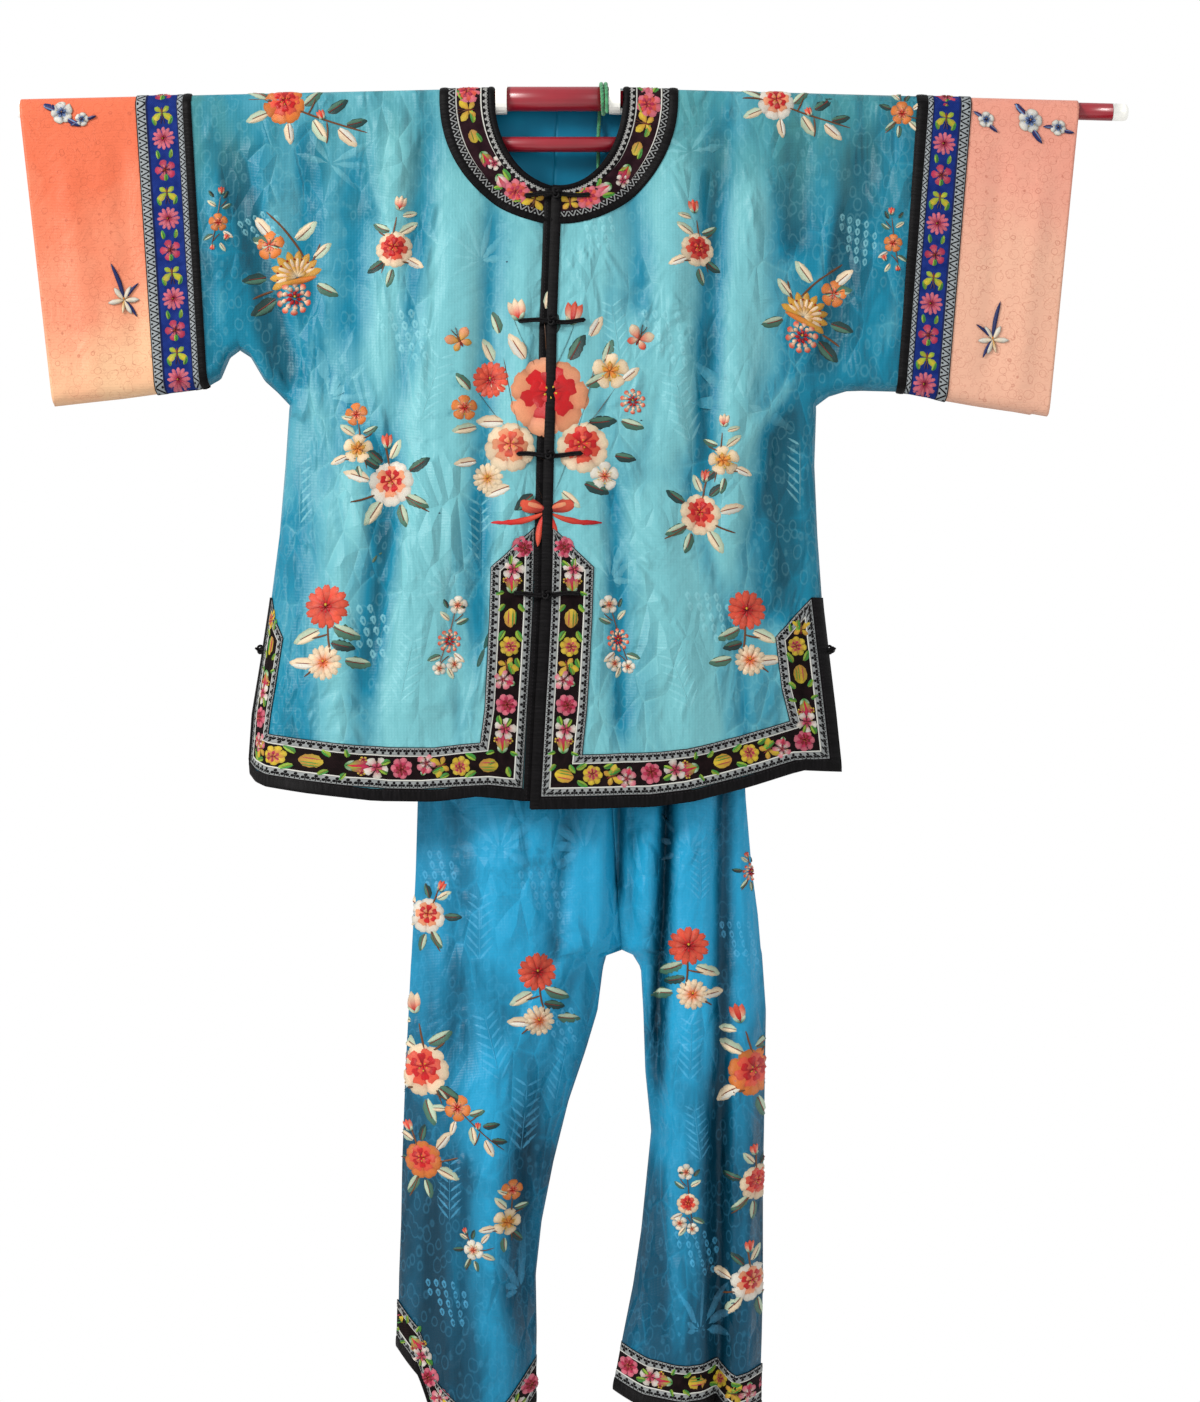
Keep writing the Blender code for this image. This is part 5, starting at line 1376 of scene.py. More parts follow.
# The collar: a shaped band of the same ribbon round the neck, with small clover figures along its
# inner edge, a zigzag along its outer one, and black satin binding outside both.
collar_ground = ribbon_ground("collar_ground", (0.006, 0.0016, 0.003), (0.020, 0.007, 0.010))
meander_edge = ribbon_border(
    "meander_edge", (0.002, 0.0015, 0.002), (0.23, 0.23, 0.22), (0.36, 0.36, 0.33), 0.0060, True
)
zigzag_edge = ribbon_border(
    "zigzag_edge", (0.002, 0.0015, 0.002), (0.17, 0.175, 0.175), (0.36, 0.36, 0.33), 0.0085, False
)
COLLAR_FLOWERS = [
    (8, 0, 14.2, 0, butterfly(YELLOW, GOLD)),
    (18, 5, 10.5, 30, blade(1.2, 0.6)),
    (27, 0, 13.0, 0, peony(PINK, CORAL, ROSE)),
    (39, -5, 12.3, -20, blade(1.2, 0.7)),
    (40, 5, 10.5, 40, blade(1.1, 0.6, LIME, GREEN)),
    (52, 0, 15.8, 80, bud(PINK, WHITE, GREEN)),
    (64, -5, 7.8, 0, plum(WHITE, PINK, ROSE)),
    (68, 4, 10.5, -30, blade(1.2, 0.6)),
    (80, 0, 15.8, 95, bud(ROSE, LIME, GREEN)),
    (90, -5, 10.5, 10, blade(1.2, 0.6)),
    (99, 1, 9.0, 0, melon((-0.7, 0.12, 1.5, 0.16, GREEN))),
    (112, -3, 12.3, 0, blade(1.2, 0.6, LIME, GREEN)),
]


def collar_path(side, grow, count=44):
    """Half a collar line: from the opening round the neck, over the rod and down to the middle of the back."""
    half = NECK[side] + grow
    share = grow * COLLAR_DROP / COLLAR_WIDE
    front_from = math.asin(np.clip(side * read(-NECK_DROP - share, LINES, 1) / half, -1, 1))
    back_from = math.asin(np.clip(side * -0.003 / half, -1, 1))
    turn, behind = np.linspace(front_from, math.pi / 2, count), np.linspace(math.pi / 2, back_from, count)
    front = np.c_[side * half * np.sin(turn), -(NECK_DROP + share) * np.cos(turn)]
    over = np.c_[np.full(4, side * half), np.linspace(0, 2 * ARC, 6)[1:-1]]
    return np.r_[
        front, over, np.c_[side * half * np.sin(behind), 2 * ARC + (BACK_NECK_DROP + share) * np.cos(behind)]
    ]


for side, word in SIDES:
    surface = jacket_lapped if side < 0 else jacket
    nodes = [f"{kind}_{face}_{word}" for kind in ("collar_ribbon", "collar_binding") for face in ("front", "back")]
    ground = strip(
        f"collar_ground_{word}", surface, collar_path(side, 0.046), collar_path(side, 0.001),
        flat_profile(12, 0.0009), collar_ground
    )
    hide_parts(*nodes)
    strip(
        f"collar_zigzag_{word}", surface, collar_path(side, 0.0455), collar_path(side, 0.0362),
        sewn_profile(0.0012), zigzag_edge
    )
    strip(
        f"collar_meander_{word}", surface, collar_path(side, 0.0035), collar_path(side, 0.0128),
        sewn_profile(0.0012), meander_edge
    )
    strip(
        f"collar_outer_binding_{word}", surface, collar_path(side, 0.0535), collar_path(side, 0.0445),
        [(0.0, 0.0002), (0.05, 0.0012), (0.3, 0.0019), (0.6, 0.0020), (0.9, 0.0017), (1.0, 0.0011)],
        black_satin
    )
    strip(
        f"collar_inner_binding_{word}", surface, collar_path(side, -0.0006), collar_path(side, 0.0045),
        [(-0.1, -0.0018), (-0.2, -0.0006), (-0.1, 0.0008),
         (0.2, 0.0017), (0.6, 0.0019), (0.9, 0.0017), (1.0, 0.0010)],
        black_satin
    )
    rows = flowers_along(collar_path(side, 0.0245), COLLAR_FLOWERS, 0.118, 1.0, 0.010, 0.010)
    woven_flowers(f"collar_flowers_{word}", surface, rows, lift=0.0012)

# The sleeve ends: a blue flower ribbon between two zigzag edges, sewn round the end of the silk over the
# seam to the cuff, and a narrow black satin band above it.
blue_ground = ribbon_ground("blue_ground", (0.003, 0.010, 0.080), (0.010, 0.026, 0.150))
grey_zigzag = ribbon_border(
    "grey_zigzag", (0.22, 0.24, 0.25), (0.003, 0.0025, 0.003), (0.006, 0.010, 0.05), 0.0095, False
)
SLEEVE_FLOWERS = [
    (10, 0, 13, 0, daisy(PINK, ROSE, WINE, 12)),
    (24, 7, 9, 20, blade(1.2, 0.7, LIME, GREEN)),
    (24, -7, 9, -20, blade(1.2, 0.7)),
    (38, 0, 14, 90, butterfly(YELLOW, LIME)),
    (50, 0, 9, 0, blade(1.0, 0.8)),
    (62, 0, 12, 0, plum(ROSE, PINK, WINE)),
    (74, 6, 9, 10, blade(1.2, 0.7)),
    (74, -6, 9, -10, blade(1.2, 0.7, LIME, GREEN)),
]


def ring_line(side, at):
    """A line round a sleeve at one place along it."""
    return np.hstack(ring_lay(side, np.array([at]), 46, 1.2))


# Places along each sleeve: the ribbon's outer edge, its blue from and to, its inner edge, and the black band.
SLEEVE_EDGES = {
    -1: (0.4225, 0.4105, 0.3820, 0.3750, 0.3760, 0.3670),
    1: (0.4100, 0.3980, 0.3730, 0.3665, 0.3675, 0.3555),
}
RAISED = [(0.0, 0.0008), (0.1, 0.0016), (0.5, 0.0020), (0.9, 0.0016), (1.0, 0.0004)]
for side, word in SIDES:
    cuff_edge, blue_from, blue_to, narrow, band_from, band_to = (ring_line(side, e) for e in SLEEVE_EDGES[side])
    ground = strip(
        f"sleeve_ground_{word}", jacket, cuff_edge, narrow, flat_profile(10, 0.0008), blue_ground
    )
    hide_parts(f"sleeve_ribbon_{word}")
    strip(
        f"sleeve_zigzag_{word}", jacket, cuff_edge, blue_from, sewn_profile(0.0012), grey_zigzag,
        RIBBON_EDGE
    )
    strip(
        f"sleeve_edge_{word}", jacket, narrow, blue_to, sewn_profile(0.0012), grey_zigzag,
        RIBBON_EDGE
    )
    rows = flowers_along((blue_from + blue_to) / 2, SLEEVE_FLOWERS, 0.086, 0.93, 0.0, 0.004)
    woven_flowers(f"sleeve_flowers_{word}", jacket, rows)
    black = strip(f"sleeve_satin_{word}", jacket, band_from, band_to, RAISED, black_satin)
    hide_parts(f"sleeve_band_{word}")

# The trousers' hems: the same flower ribbon and black binding as the jacket's, sewn round each leg.
for side, word, surface in ((-1, "right", leg_right), (1, "left", leg_left)):
    shares = np.r_[np.linspace(0.995, 0.02, 44), 0.0, np.linspace(-0.02, -0.995, 44)]
    lines = [np.stack(leg_lay(side, shares, up), 1) for up in (0.0, 0.011, 0.0197, 0.0383, 0.047)]
    ground = strip(
        f"leg_ground_{word}", surface, lines[1], lines[4], flat_profile(8, 0.0008), ribbon_black
    )
    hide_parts(f"leg_ribbon_{word}")
    strip(
        f"leg_edge_low_{word}", surface, lines[1], lines[2], sewn_profile(0.0011), clover_edge,
        RIBBON_EDGE
    )
    strip(
        f"leg_edge_high_{word}", surface, lines[4], lines[3], sewn_profile(0.0011), clover_edge,
        RIBBON_EDGE
    )
    rows = flowers_along((lines[2] + lines[3]) / 2, RIBBON_FLOWERS, REPEAT, 0.85, 0.0, 0.006)
    woven_flowers(f"leg_flowers_{word}", surface, rows)
    black = strip(f"leg_satin_{word}", surface, lines[0], lines[1], FOLDED, black_satin)
    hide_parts(f"leg_binding_{word}")

# The knot buttons: a doubled black cord sewn flat to each side of the opening, with a knotted ball in the
# middle. There is one at the neck, three down the front and a small one at the head of each side slit.


def round_tube(name, paths, radius, material, sides=10):
    """Round cords along paths in the plane of the front: rings square to each path, closed at its ends."""
    pieces, faces, outward, count = [], [], [], 0
    for path in paths:
        run = np.gradient(path, axis=0)
        run /= np.linalg.norm(run, axis=1, keepdims=True)
        face = np.array([0.08, 1.0, 0.05])
        side_way = np.cross(run, face)
        side_way /= np.linalg.norm(side_way, axis=1, keepdims=True)
        other = np.cross(run, side_way)
        turn = np.linspace(0, 2 * math.pi, sides, endpoint=False)[None]
        spokes = np.cos(turn)[..., None] * side_way[:, None] + np.sin(turn)[..., None] * other[:, None]
        thick = np.full((len(path), 1, 1), radius)
        thick[0] = thick[-1] = radius * 0.05
        pieces.append((path[:, None] + thick * spokes).reshape(-1, 3))
        outward.append(spokes.reshape(-1, 3))
        faces.append(count + grid_faces(np.arange(len(path) * sides).reshape(len(path), sides), True))
        count += len(path) * sides
    return mesh_piece(name, np.concatenate(pieces), np.concatenate(faces), material, np.concatenate(outward))


def knot_ball(middle, size, turns=3):
    """A ball knot: a line that winds round a ring while it goes round it, as a cord's three-lobed knot does."""
    t = np.linspace(0, 2 * math.pi, 90)
    reach = size * (0.62 + 0.38 * np.cos(turns * t))
    forward = -size * (0.45 * np.sin(turns * t) + 0.2)
    return middle + np.stack([reach * np.cos(2 * t), forward, reach * np.sin(2 * t)], -1)


knot_cord, knot_shader, knot_start = new_material("knot_cord", 0.5, 0.0, 0.06)
knot_twist = knot_start.node("ShaderNodeTexCoord", out=3).noise(700.0, 2.0)
finish_with(
    knot_cord, knot_shader, knot_twist.ramp((0.3, (0.001, 0.001, 0.001)), (0.8, (0.010, 0.009, 0.010))),
    knot_twist, 0.6, 0.0004
)
for word, z in (("neck", -0.100), ("chest", -0.228), ("waist", -0.361), ("hem", -0.498)):
    middle = read(z, LINES, 1) + UNDERLAP + 0.001
    across = np.linspace(-0.033, 0.033, 34)
    sag = 0.0012 * np.sin(across * 120 + z * 40)
    paths = []
    for row in (-0.0011, 0.0011):
        ends = 1 - smooth((np.abs(across) - 0.0315) / 0.0015)
        place, _ = lift_off(jacket, middle + across, z + sag + row * ends, 0.0031)
        paths.append(place)
    ball, _ = lift_off(jacket, np.array([middle]), np.array([z]), 0.0052)
    knot = round_tube(f"knot_{word}", [*paths, knot_ball(ball[0], 0.0046)], 0.0012, knot_cord)
    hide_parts(f"frog_{word}")
for side, word in SIDES:
    low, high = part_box(f"frog_slit_{word}")
    middle = (np.array(low) + np.array(high)) / 2
    t = np.linspace(-1, 1, 24)
    line = middle + np.stack([-side * 0.001 * np.cos(t * 2), t * 0.0165, 0.0008 * np.sin(t * 5)], -1)
    inward = middle + np.stack([-side * (t + 1) * 0.0075, -0.004 - 0.002 * (t + 1), -0.0006 * (t + 1)], -1)
    paths = [line, inward, inward + [0.0, 0.0, -0.0022], knot_ball(middle + [-side * 0.003, 0.0, 0.0], 0.0040)]
    knot = round_tube(f"knot_slit_{word}", paths, 0.0012, knot_cord)
    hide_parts(f"frog_slit_{word}")

# The embroidery: sprigs in satin stitch with untwisted silk floss. Shaded petals are worked over one another,
# red and coral round to cream, with two-tone leaves on thin brown stems.
ORIGIN_PX, ORIGIN_PY = 560, 99


def at_view(px, py, depth):
    """A place on the cloth for a place in the front view, in millimetres on the middle plane from its corner."""
    near = (VIEW_AWAY - depth) / VIEW_AWAY
    x, z = (px - ORIGIN_PX) / 1000, (ORIGIN_PY - py) / 1000
    return VIEW_X + (x - VIEW_X) * near, VIEW_Z + (z - VIEW_Z) * near


def leaves(*rows):
    """Leaves at x, y, angle, length; pale, dark or cream in turn."""
    kinds = ((LEAF, PALE_LEAF), (PALE_LEAF, CREAM), (DARK_LEAF, LEAF), (CREAM, WHITE))
    return np.concatenate([
        leaf(x, y, a, 1.25 * l, 0.62 * l, *kinds[i % 4], -0.0003) for i, (x, y, a, l) in enumerate(rows)
    ])


def twigs(*rows):
    """Thin stems at x, y, angle, length, bend."""
    return np.concatenate([stem(x, y, a, l, b) for x, y, a, l, b in rows])


def spray_round(flower, small):
    """A large flower with a bud above it and leaves all round."""
    return np.r_[
        twigs((0, 0.4, 80, 1.6, 0.15), (0.3, -0.4, -60, 1.7, 0.2), (-0.5, -0.2, 200, 1.4, -0.2)),
        leaves(
            (0.5, -0.7, -40, 1.0), (-0.6, -0.6, 225, 1.1), (0.9, 0.3, 20, 0.9), (-0.9, 0.4, 150, 1.0),
            (0.2, -1.0, -85, 0.9), (0.2, 1.1, 50, 0.8), (-0.2, 1.0, 125, 0.8)
        ),
        flower,
        turned(small, 0.15, 1.65, -8, 0.62),
    ]


def spray_pair(flower, small):
    """Two flowers on one bent stem, leaves between them."""
    return np.r_[
        twigs((-0.2, 1.9, -80, 3.4, 0.12), (0, 0.6, 20, 1.0, 0.2), (0, -0.6, 200, 1.2, -0.2)),
        leaves(
            (0.2, 1.0, 30, 0.9), (-0.3, 0.9, 150, 1.0), (0.5, -0.6, -30, 1.0), (-0.6, -0.5, 210, 1.0),
            (0.1, -1.1, -70, 0.9), (-0.5, 1.9, 170, 0.7)
        ),
        flower,
        turned(small, -0.35, 2.25, 12, 0.78),
    ]


def spray_low(flower, small):
    """A spiky flower with leaves under it, and a second one below on a curled stem."""
    return np.r_[
        twigs((0.1, -0.4, -95, 2.2, 0.2), (0.1, -1.2, 200, 1.1, -0.2), (-0.1, -2.6, 190, 1.0, 0.3)),
        leaves(
            (0.3, -0.9, -25, 1.1), (-0.3, -1.0, 205, 1.1), (0.2, -1.6, -15, 0.9), (-0.5, -2.5, 175, 1.0),
            (0.8, -2.4, -10, 1.0)
        ),
        flower,
        turned(small, -0.1, -2.45, 10, 0.80),
    ]


def spray_tall(flower, small):
    """A narrow sprig: a round flower in the middle, small ones above and below on a leaning twig."""
    return np.r_[
        twigs((0.4, 2.9, -100, 5.6, -0.05), (0.1, -1.2, 215, 1.1, 0.2), (0.3, 1.6, 40, 1.0, 0.1)),
        leaves(
            (0.5, 1.4, 30, 0.9), (-0.1, 1.7, 140, 0.9), (0.7, 2.5, 60, 0.8), (0.4, -1.0, -35, 1.0),
            (-0.6, -1.2, 205, 1.0), (0.0, -2.2, -60, 0.9), (-0.3, 2.7, 120, 0.7)
        ),
        flower,
        turned(small, 0.5, 3.0, 0, 0.8),
        turned(small, 0.55, -1.9, -30, 0.7),
        turned(small, -0.65, -2.3, 160, 0.6),
    ]


def spray_citron(flower, small):
    """A cut citron over a round flower, with a blossom above and pale leaves between."""
    return np.r_[
        twigs((0.5, 0.9, 120, 2.6, 0.15), (0.6, 0.5, 50, 1.2, 0.2), (-0.8, -0.4, 190, 1.0, 0.2)),
        leaves(
            (-0.5, 1.4, 160, 1.1), (0.1, 1.7, 40, 1.0), (-1.1, 0.2, 190, 0.9), (-0.9, 1.9, 130, 0.9),
            (1.0, -0.2, -30, 0.9), (0.9, 0.9, 40, 0.8), (-0.7, -0.7, 215, 1.1)
        ),
        turned(half_round(), 0.15, 0.15, 20, 1.15),
        turned(flower, 0.05, -0.75, 0, 0.75),
        turned(small, -0.95, 1.5, 0, 0.62),
    ]


def spray_branch(flower, small):
    """A flower on a long side branch hung with leaves."""
    return np.r_[
        twigs(
            (0.3, -0.1, -15, 4.2, 0.06), (1.2, -0.4, 60, 1.0, 0.2), (2.2, -0.6, -70, 1.1, -0.2),
            (-0.5, 0, 170, 1.4, 0.2)
        ),
        leaves(
            (1.0, 0.0, 50, 1.0), (1.5, -0.6, -50, 1.1), (2.2, -0.2, 40, 1.0), (2.8, -0.9, -35, 1.1),
            (-0.8, 0.2, 160, 1.1), (-0.7, -0.5, 210, 1.0), (3.2, -0.7, 20, 0.9), (0.3, -0.9, -75, 0.9)
        ),
        flower,
        turned(small, 2.0, -0.5, 30, 0.5),
    ]


FLOWERS = {
    "red": peony(CREAM, CORAL, RED),
    "pale": peony(WHITE, PEACH, RED),
    "orange": peony(ORANGE, CORAL, RED),
    "coral": daisy(CORAL, RED, WINE, 13),
    "golden": daisy(CREAM, ORANGE, CORAL, 13),
    "gold": plum(CREAM, GOLD, ORANGE),
    "apricot": plum(ORANGE, PEACH, RED),
    "white": plum(WHITE, CREAM, CORAL),
    "ring": ringed(),
    "bud": bud(),
    "tulip": bud(CREAM, CORAL, PALE_LEAF),
}
SPRAYS = {
    "round": spray_round, "pair": spray_pair, "low": spray_low, "tall": spray_tall, "citron": spray_citron,
    "branch": spray_branch
}


def jacket_front_depth(x, z):
    """How far the jacket's front stands off the middle plane."""
    return float(jacket_depth(np.array(x), np.array(z), False)) + WALL


def on_cloth(px, py, depth_at=jacket_front_depth):
    """The place on the cloth that is seen at a place in the front view: its depth is read near by first."""
    return at_view(px, py, depth_at(*at_view(px, py, 0.03)))


def sprigs(table, depth_at):
    """Petal rows for a table of sprigs: spray, flower, small flower, place in the front view, size, turn, flipped."""
    rows = []
    for spray, flower, small, px, py, size, angle, flip in table:
        x, z = on_cloth(px, py, depth_at)
        rows.append(turned(SPRAYS[spray](FLOWERS[flower], FLOWERS[small]), x, z, angle, size / 1000, flip))
    return np.concatenate(rows)


def mirrored_behind(rows):
    """Petal rows carried over the rod to the back, so that both faces carry the same sprigs."""
    rows = rows.copy()
    rows[:, 1] = 2 * ARC - rows[:, 1]
    rows[:, 2] *= -1
    rows[:, 7] *= -1
    return rows


JACKET_SPRIGS = [
    ("branch", "orange", "bud", 284, 99, 20.1, -8, False),
    ("tall", "apricot", "bud", 218, 216, 9.4, 4, False),
    ("citron", "ring", "apricot", 293, 276, 23.6, 0, False),
    ("pair", "red", "tulip", 394, 247, 17.7, 2, True),
    ("pair", "gold", "apricot", 358, 446, 15.3, -6, False),
    ("round", "pale", "bud", 392, 482, 22.4, 12, False),
    ("low", "coral", "golden", 327, 603, 22.4, 0, False),
    ("tall", "ring", "white", 449, 640, 11.8, -4, False),
    ("branch", "pale", "bud", 776, 98, 17.7, -6, False),
    ("round", "apricot", "bud", 902, 106, 11.8, 0, True),
    ("pair", "red", "bud", 697, 248, 16.5, -4, False),
    ("citron", "ring", "apricot", 806, 316, 22.4, -12, True),
    ("tall", "apricot", "bud", 893, 236, 9.4, -6, True),
    ("pair", "gold", "tulip", 724, 458, 15.3, 8, True),
    ("round", "red", "bud", 700, 513, 20.1, -14, True),
    ("low", "coral", "golden", 746, 607, 20.1, 2, True),
    ("tall", "ring", "white", 618, 640, 11.8, 6, True),
]
# The group down the middle of the front: one large peony over a fan of leaves, smaller flowers on
# climbing stems, two butterflies, and a knotted coral ribbon that ties the stems below.
MIDDLE = np.r_[
    twigs(
        (0, -100, 88, 180, 0.05), (4, -98, 66, 150, 0.12), (-4, -98, 112, 150, -0.12), (2, -60, 40, 100, 0.15),
        (-2, -60, 142, 100, -0.15), (6, 30, 62, 66, 0.1), (-6, 24, 120, 70, -0.1)
    ),
    leaves(
        (24, -58, 25, 24), (-24, -58, 155, 24), (40, -22, 5, 24), (-42, -20, 178, 24), (38, 14, 30, 24),
        (-40, 12, 150, 24), (22, 40, 60, 25), (-22, 42, 122, 25), (56, 38, 70, 21), (-52, 40, 118, 22),
        (36, -82, -20, 22), (-36, -84, 200, 22), (72, -20, -15, 20), (-70, -24, 192, 20), (8, 66, 95, 22),
        (42, 64, 60, 20), (-46, 68, 110, 20), (14, -90, -40, 20), (-14, -92, 222, 20), (74, 20, 40, 18),
        (-76, 12, 130, 18), (0, 92, 80, 18), (66, -54, -10, 18), (-70, -58, 190, 18)
    ),
    turned(peony(PEACH, RED, RED), 2, 4, 0, 38),
    turned(peony(CREAM, CORAL, RED), 35, -46, 20, 25),
    turned(peony(CREAM, PEACH, CORAL), -37, -46, -20, 24),
    turned(daisy(CORAL, RED, WINE, 14), -56, 22, 0, 19),
    turned(plum(CREAM, GOLD, ORANGE), 62, 30, 0, 19),
    turned(plum(WHITE, CREAM, CORAL), 56, -74, 0, 15),
    turned(daisy(CREAM, GOLD, ORANGE, 13), -58, -76, 0, 16),
    turned(bud(CORAL, CREAM), 24, 78, -10, 22),
    turned(bud(CREAM, CORAL), -28, 82, 12, 21),
    turned(ringed(), 84, 0, 0, 13),
    turned(plum(ORANGE, PEACH, RED), -82, -6, 0, 13),
    turned(butterfly(CREAM, CORAL), 90, 62, -25, 17),
    turned(butterfly(PEACH, GOLD), -86, 60, 28, 16),
    ring_of(2, 30, 15, WINE, CORAL, 0.0003, 90, 150, belly=1.5, blunt=0.5) + [[0, -108, *[0] * 14]],
    ring_of(2, 22, 8, CORAL, PEACH, 0.0006, 90, 148, belly=1.5, blunt=0.5) + [[0, -107, *[0] * 14]],
    petal(2, -110, -30, 52, 7, CORAL, RED, 0.0002, 1.2, 0.5, 0.35), petal(
        -2, -110, 210, 52, 7, CORAL, RED, 0.0002, 1.2, 0.5, -0.35
    ),
    petal(1, -110, -62, 34, 7, RED, CORAL, 0.0001, 1.2, 0.5, -0.25), petal(
        -1, -110, 242, 34, 7, RED, CORAL, 0.0001, 1.2, 0.5, 0.25
    ),
    petal(-6, -106, 0, 12, 11, WINE, RED, 0.0009, 1.0, 0.6),
]


front_rows = sprigs(JACKET_SPRIGS, jacket_front_depth)
middle_rows = turned(MIDDLE, 0, 0, 0, 0.001)
middle_x, middle_z = at_view(547, 400, 0.05)
middle_rows[:, 0] += middle_x
middle_rows[:, 1] += middle_z
motifs("jacket_sprigs_front", jacket, front_rows, silk_thread)
motifs("middle_sprig_front", jacket, middle_rows, silk_thread)
low_rows = front_rows[front_rows[:, 1] < -0.03]
motifs("jacket_sprigs_back", jacket, mirrored_behind(low_rows), silk_thread)
motifs("middle_sprig_back", jacket, mirrored_behind(middle_rows), silk_thread)

LEG_SPRIGS = [
    ("round", "pale", "bud", 428, 916, 17.2, -20, False),
    ("low", "coral", "golden", 537, 972, 19.5, 4, False),
    ("pair", "red", "tulip", 424, 1070, 25.3, 0, False),
    ("branch", "apricot", "bud", 458, 1108, 13.8, -30, False),
    ("round", "orange", "bud", 424, 1160, 18.4, 20, True),
    ("pair", "gold", "apricot", 506, 1222, 13.8, -18, False),
    ("round", "white", "bud", 474, 1250, 10.3, 20, True),
    ("low", "coral", "golden", 689, 946, 19.5, 2, True),
    ("round", "ring", "bud", 750, 872, 9.2, 10, True),
    ("pair", "orange", "bud", 752, 1072, 23.0, 4, False),
    ("round", "red", "bud", 756, 1182, 17.2, 0, True),
    ("tall", "red", "white", 688, 1204, 10.3, -6, True),
    ("round", "pale", "bud", 750, 1282, 18.4, 8, False),
]


def leg_front_depth(x, z):
    """How far the front of the legs stands off the middle plane."""
    return float(-leg(-1 if x < 0.06 else 1, np.array(x), np.array(z))[1]) + WALL


leg_rows = sprigs(LEG_SPRIGS, leg_front_depth)
inner_rows = sprigs([row for row in LEG_SPRIGS if 470 < row[3] < 720], leg_front_depth)
for side, word, surface in ((-1, "right", leg_right), (1, "left", leg_left)):
    for face, rows in (("front", leg_rows), ("back", inner_rows)):
        rows = rows[(rows[:, 0] < 0.061) == (side < 0)]
        rows = rows[(rows[:, 0] - read(rows[:, 1], LEGS[side], 2)) * side > 0.004]
        if face == "back":
            rows[:, 0] = 2 * read(rows[:, 1], LEGS[side], 1) - rows[:, 0]
            rows[:, 2] = 180 - rows[:, 2]
            rows[:, 7] *= -1
        motifs(f"leg_sprigs_{face}_{word}", surface, rows, silk_thread)

# Marks of wear: a dark green run of dye beside the right front's ribbon and small brown spots.
stain_rows = []
for px, py, size, angle, colour in (
    (477, 668, 22, 68, (0.004, 0.050, 0.040)), (484, 650, 26, 66, (0.006, 0.060, 0.050)), (
        490, 632, 14, 72, (0.006, 0.060, 0.050)
    ),
    (372, 560, 9, 60, (0.05, 0.09, 0.05)), (378, 552, 5, 20, (0.05, 0.09, 0.05)), (
        506, 262, 2.5, 0, (0.004, 0.02, 0.05)
    ),
    (438, 512, 2.5, 0, (0.01, 0.03, 0.05)), (706, 470, 5, 40, (0.16, 0.10, 0.03)), (
        640, 420, 2.5, 0, (0.01, 0.03, 0.05)
    ),
):
    x, z = on_cloth(px, py)
    stain_rows.append(petal(x, z, angle, size / 1000, 0.25 * size / 1000 + 0.001, colour, colour, 0, 0.9, 0.7))
motifs("dye_marks", jacket, np.concatenate(stain_rows), silk_thread, 0.00035, -0.0002, (9, 5), 0.0)

# The cuffs' embroidery: a cream orchid with long navy leaves low on each cuff, and blue and white
# blossoms along the fold at the top.
ORCHID = np.r_[
    petal(0, 0, 100, 2.6, 0.30, NAVY, NAVY, 0.0, 1.0, 0.5, 0.16), petal(
        0, 0, 60, 1.5, 0.24, NAVY, NAVY, 0.0001, 1.0, 0.5, -0.2
    ),
    petal(0, 0, -40, 1.4, 0.24, NAVY, NAVY, 0.0001, 1.0, 0.5, -0.2),
    ring_of(5, 1.05, 0.36, CREAM, WHITE, 0.0003, 65, 250, belly=1.1, blunt=0.7, frill=0.05),
    petal(0, 0, 265, 0.9, 0.22, GOLD, CREAM, 0.0004), ring_of(1, 0.2, 0.2, GOLD, ORANGE, 0.0007, 90),
]
blue_plum = np.r_[
    plum(WHITE, (0.10, 0.16, 0.30), NAVY), leaf(0.3, -0.6, -40, 1.5, 0.5, NAVY, (0.10, 0.16, 0.30)),
    leaf(-0.4, 0.3, 150, 1.4, 0.5, NAVY, (0.10, 0.16, 0.30))
]
cuff_rows = []
for flower, px, py, size, angle, flip in (
    (ORCHID, 124, 292, 15, 0, False), (ORCHID, 993, 330, 15, 8, True),
    (blue_plum, 62, 103, 11, 10, False), (blue_plum, 82, 110, 7, 60, False), (blue_plum, 986, 110, 8, 0, False),
    (blue_plum, 1030, 110, 12, -15, False), (blue_plum, 1058, 116, 8, 30, False),
):
    x, z = on_cloth(px, py)
    cuff_rows.append(turned(flower, x, z, angle, size / 1000, flip))
cuff_rows = np.concatenate(cuff_rows)
motifs("cuff_sprigs_front", jacket, cuff_rows, silk_thread, 0.0017, 0.0009)
motifs(
    "cuff_sprigs_back", jacket, mirrored_behind(cuff_rows[cuff_rows[:, 1] < -0.05]), silk_thread,
    0.0017, 0.0009
)

# The woven figures in the silk: bunches of grapes, bamboo and long leaves, in the same silk but with
# the weave turned, so that they show a little paler. Each stands a hair above the ground.


def grapes(count=5):
    """Outlined drops in rows: a paler drop with a darker one on it."""
    drops = []
    for row in range(count):
        for i in range(count - abs(row - 1)):
            x, y = (i - (row % 2) * 0.5 - (count - row) / 2 + row * 0.25) * 0.95, -row * 1.02
            drops.append(petal(x, y, 100, 1.05, 0.90, (1, 1, 1), (1, 1, 1), 0, 1.3, 0.5))
            drops.append(
                petal(x - 0.02, y + 0.17, 100, 0.68, 0.52, (0.3, 0.3, 0.3), (0.1, 0.1, 0.1), 0.00015, 1.3, 0.5)
            )
    return np.concatenate(drops)


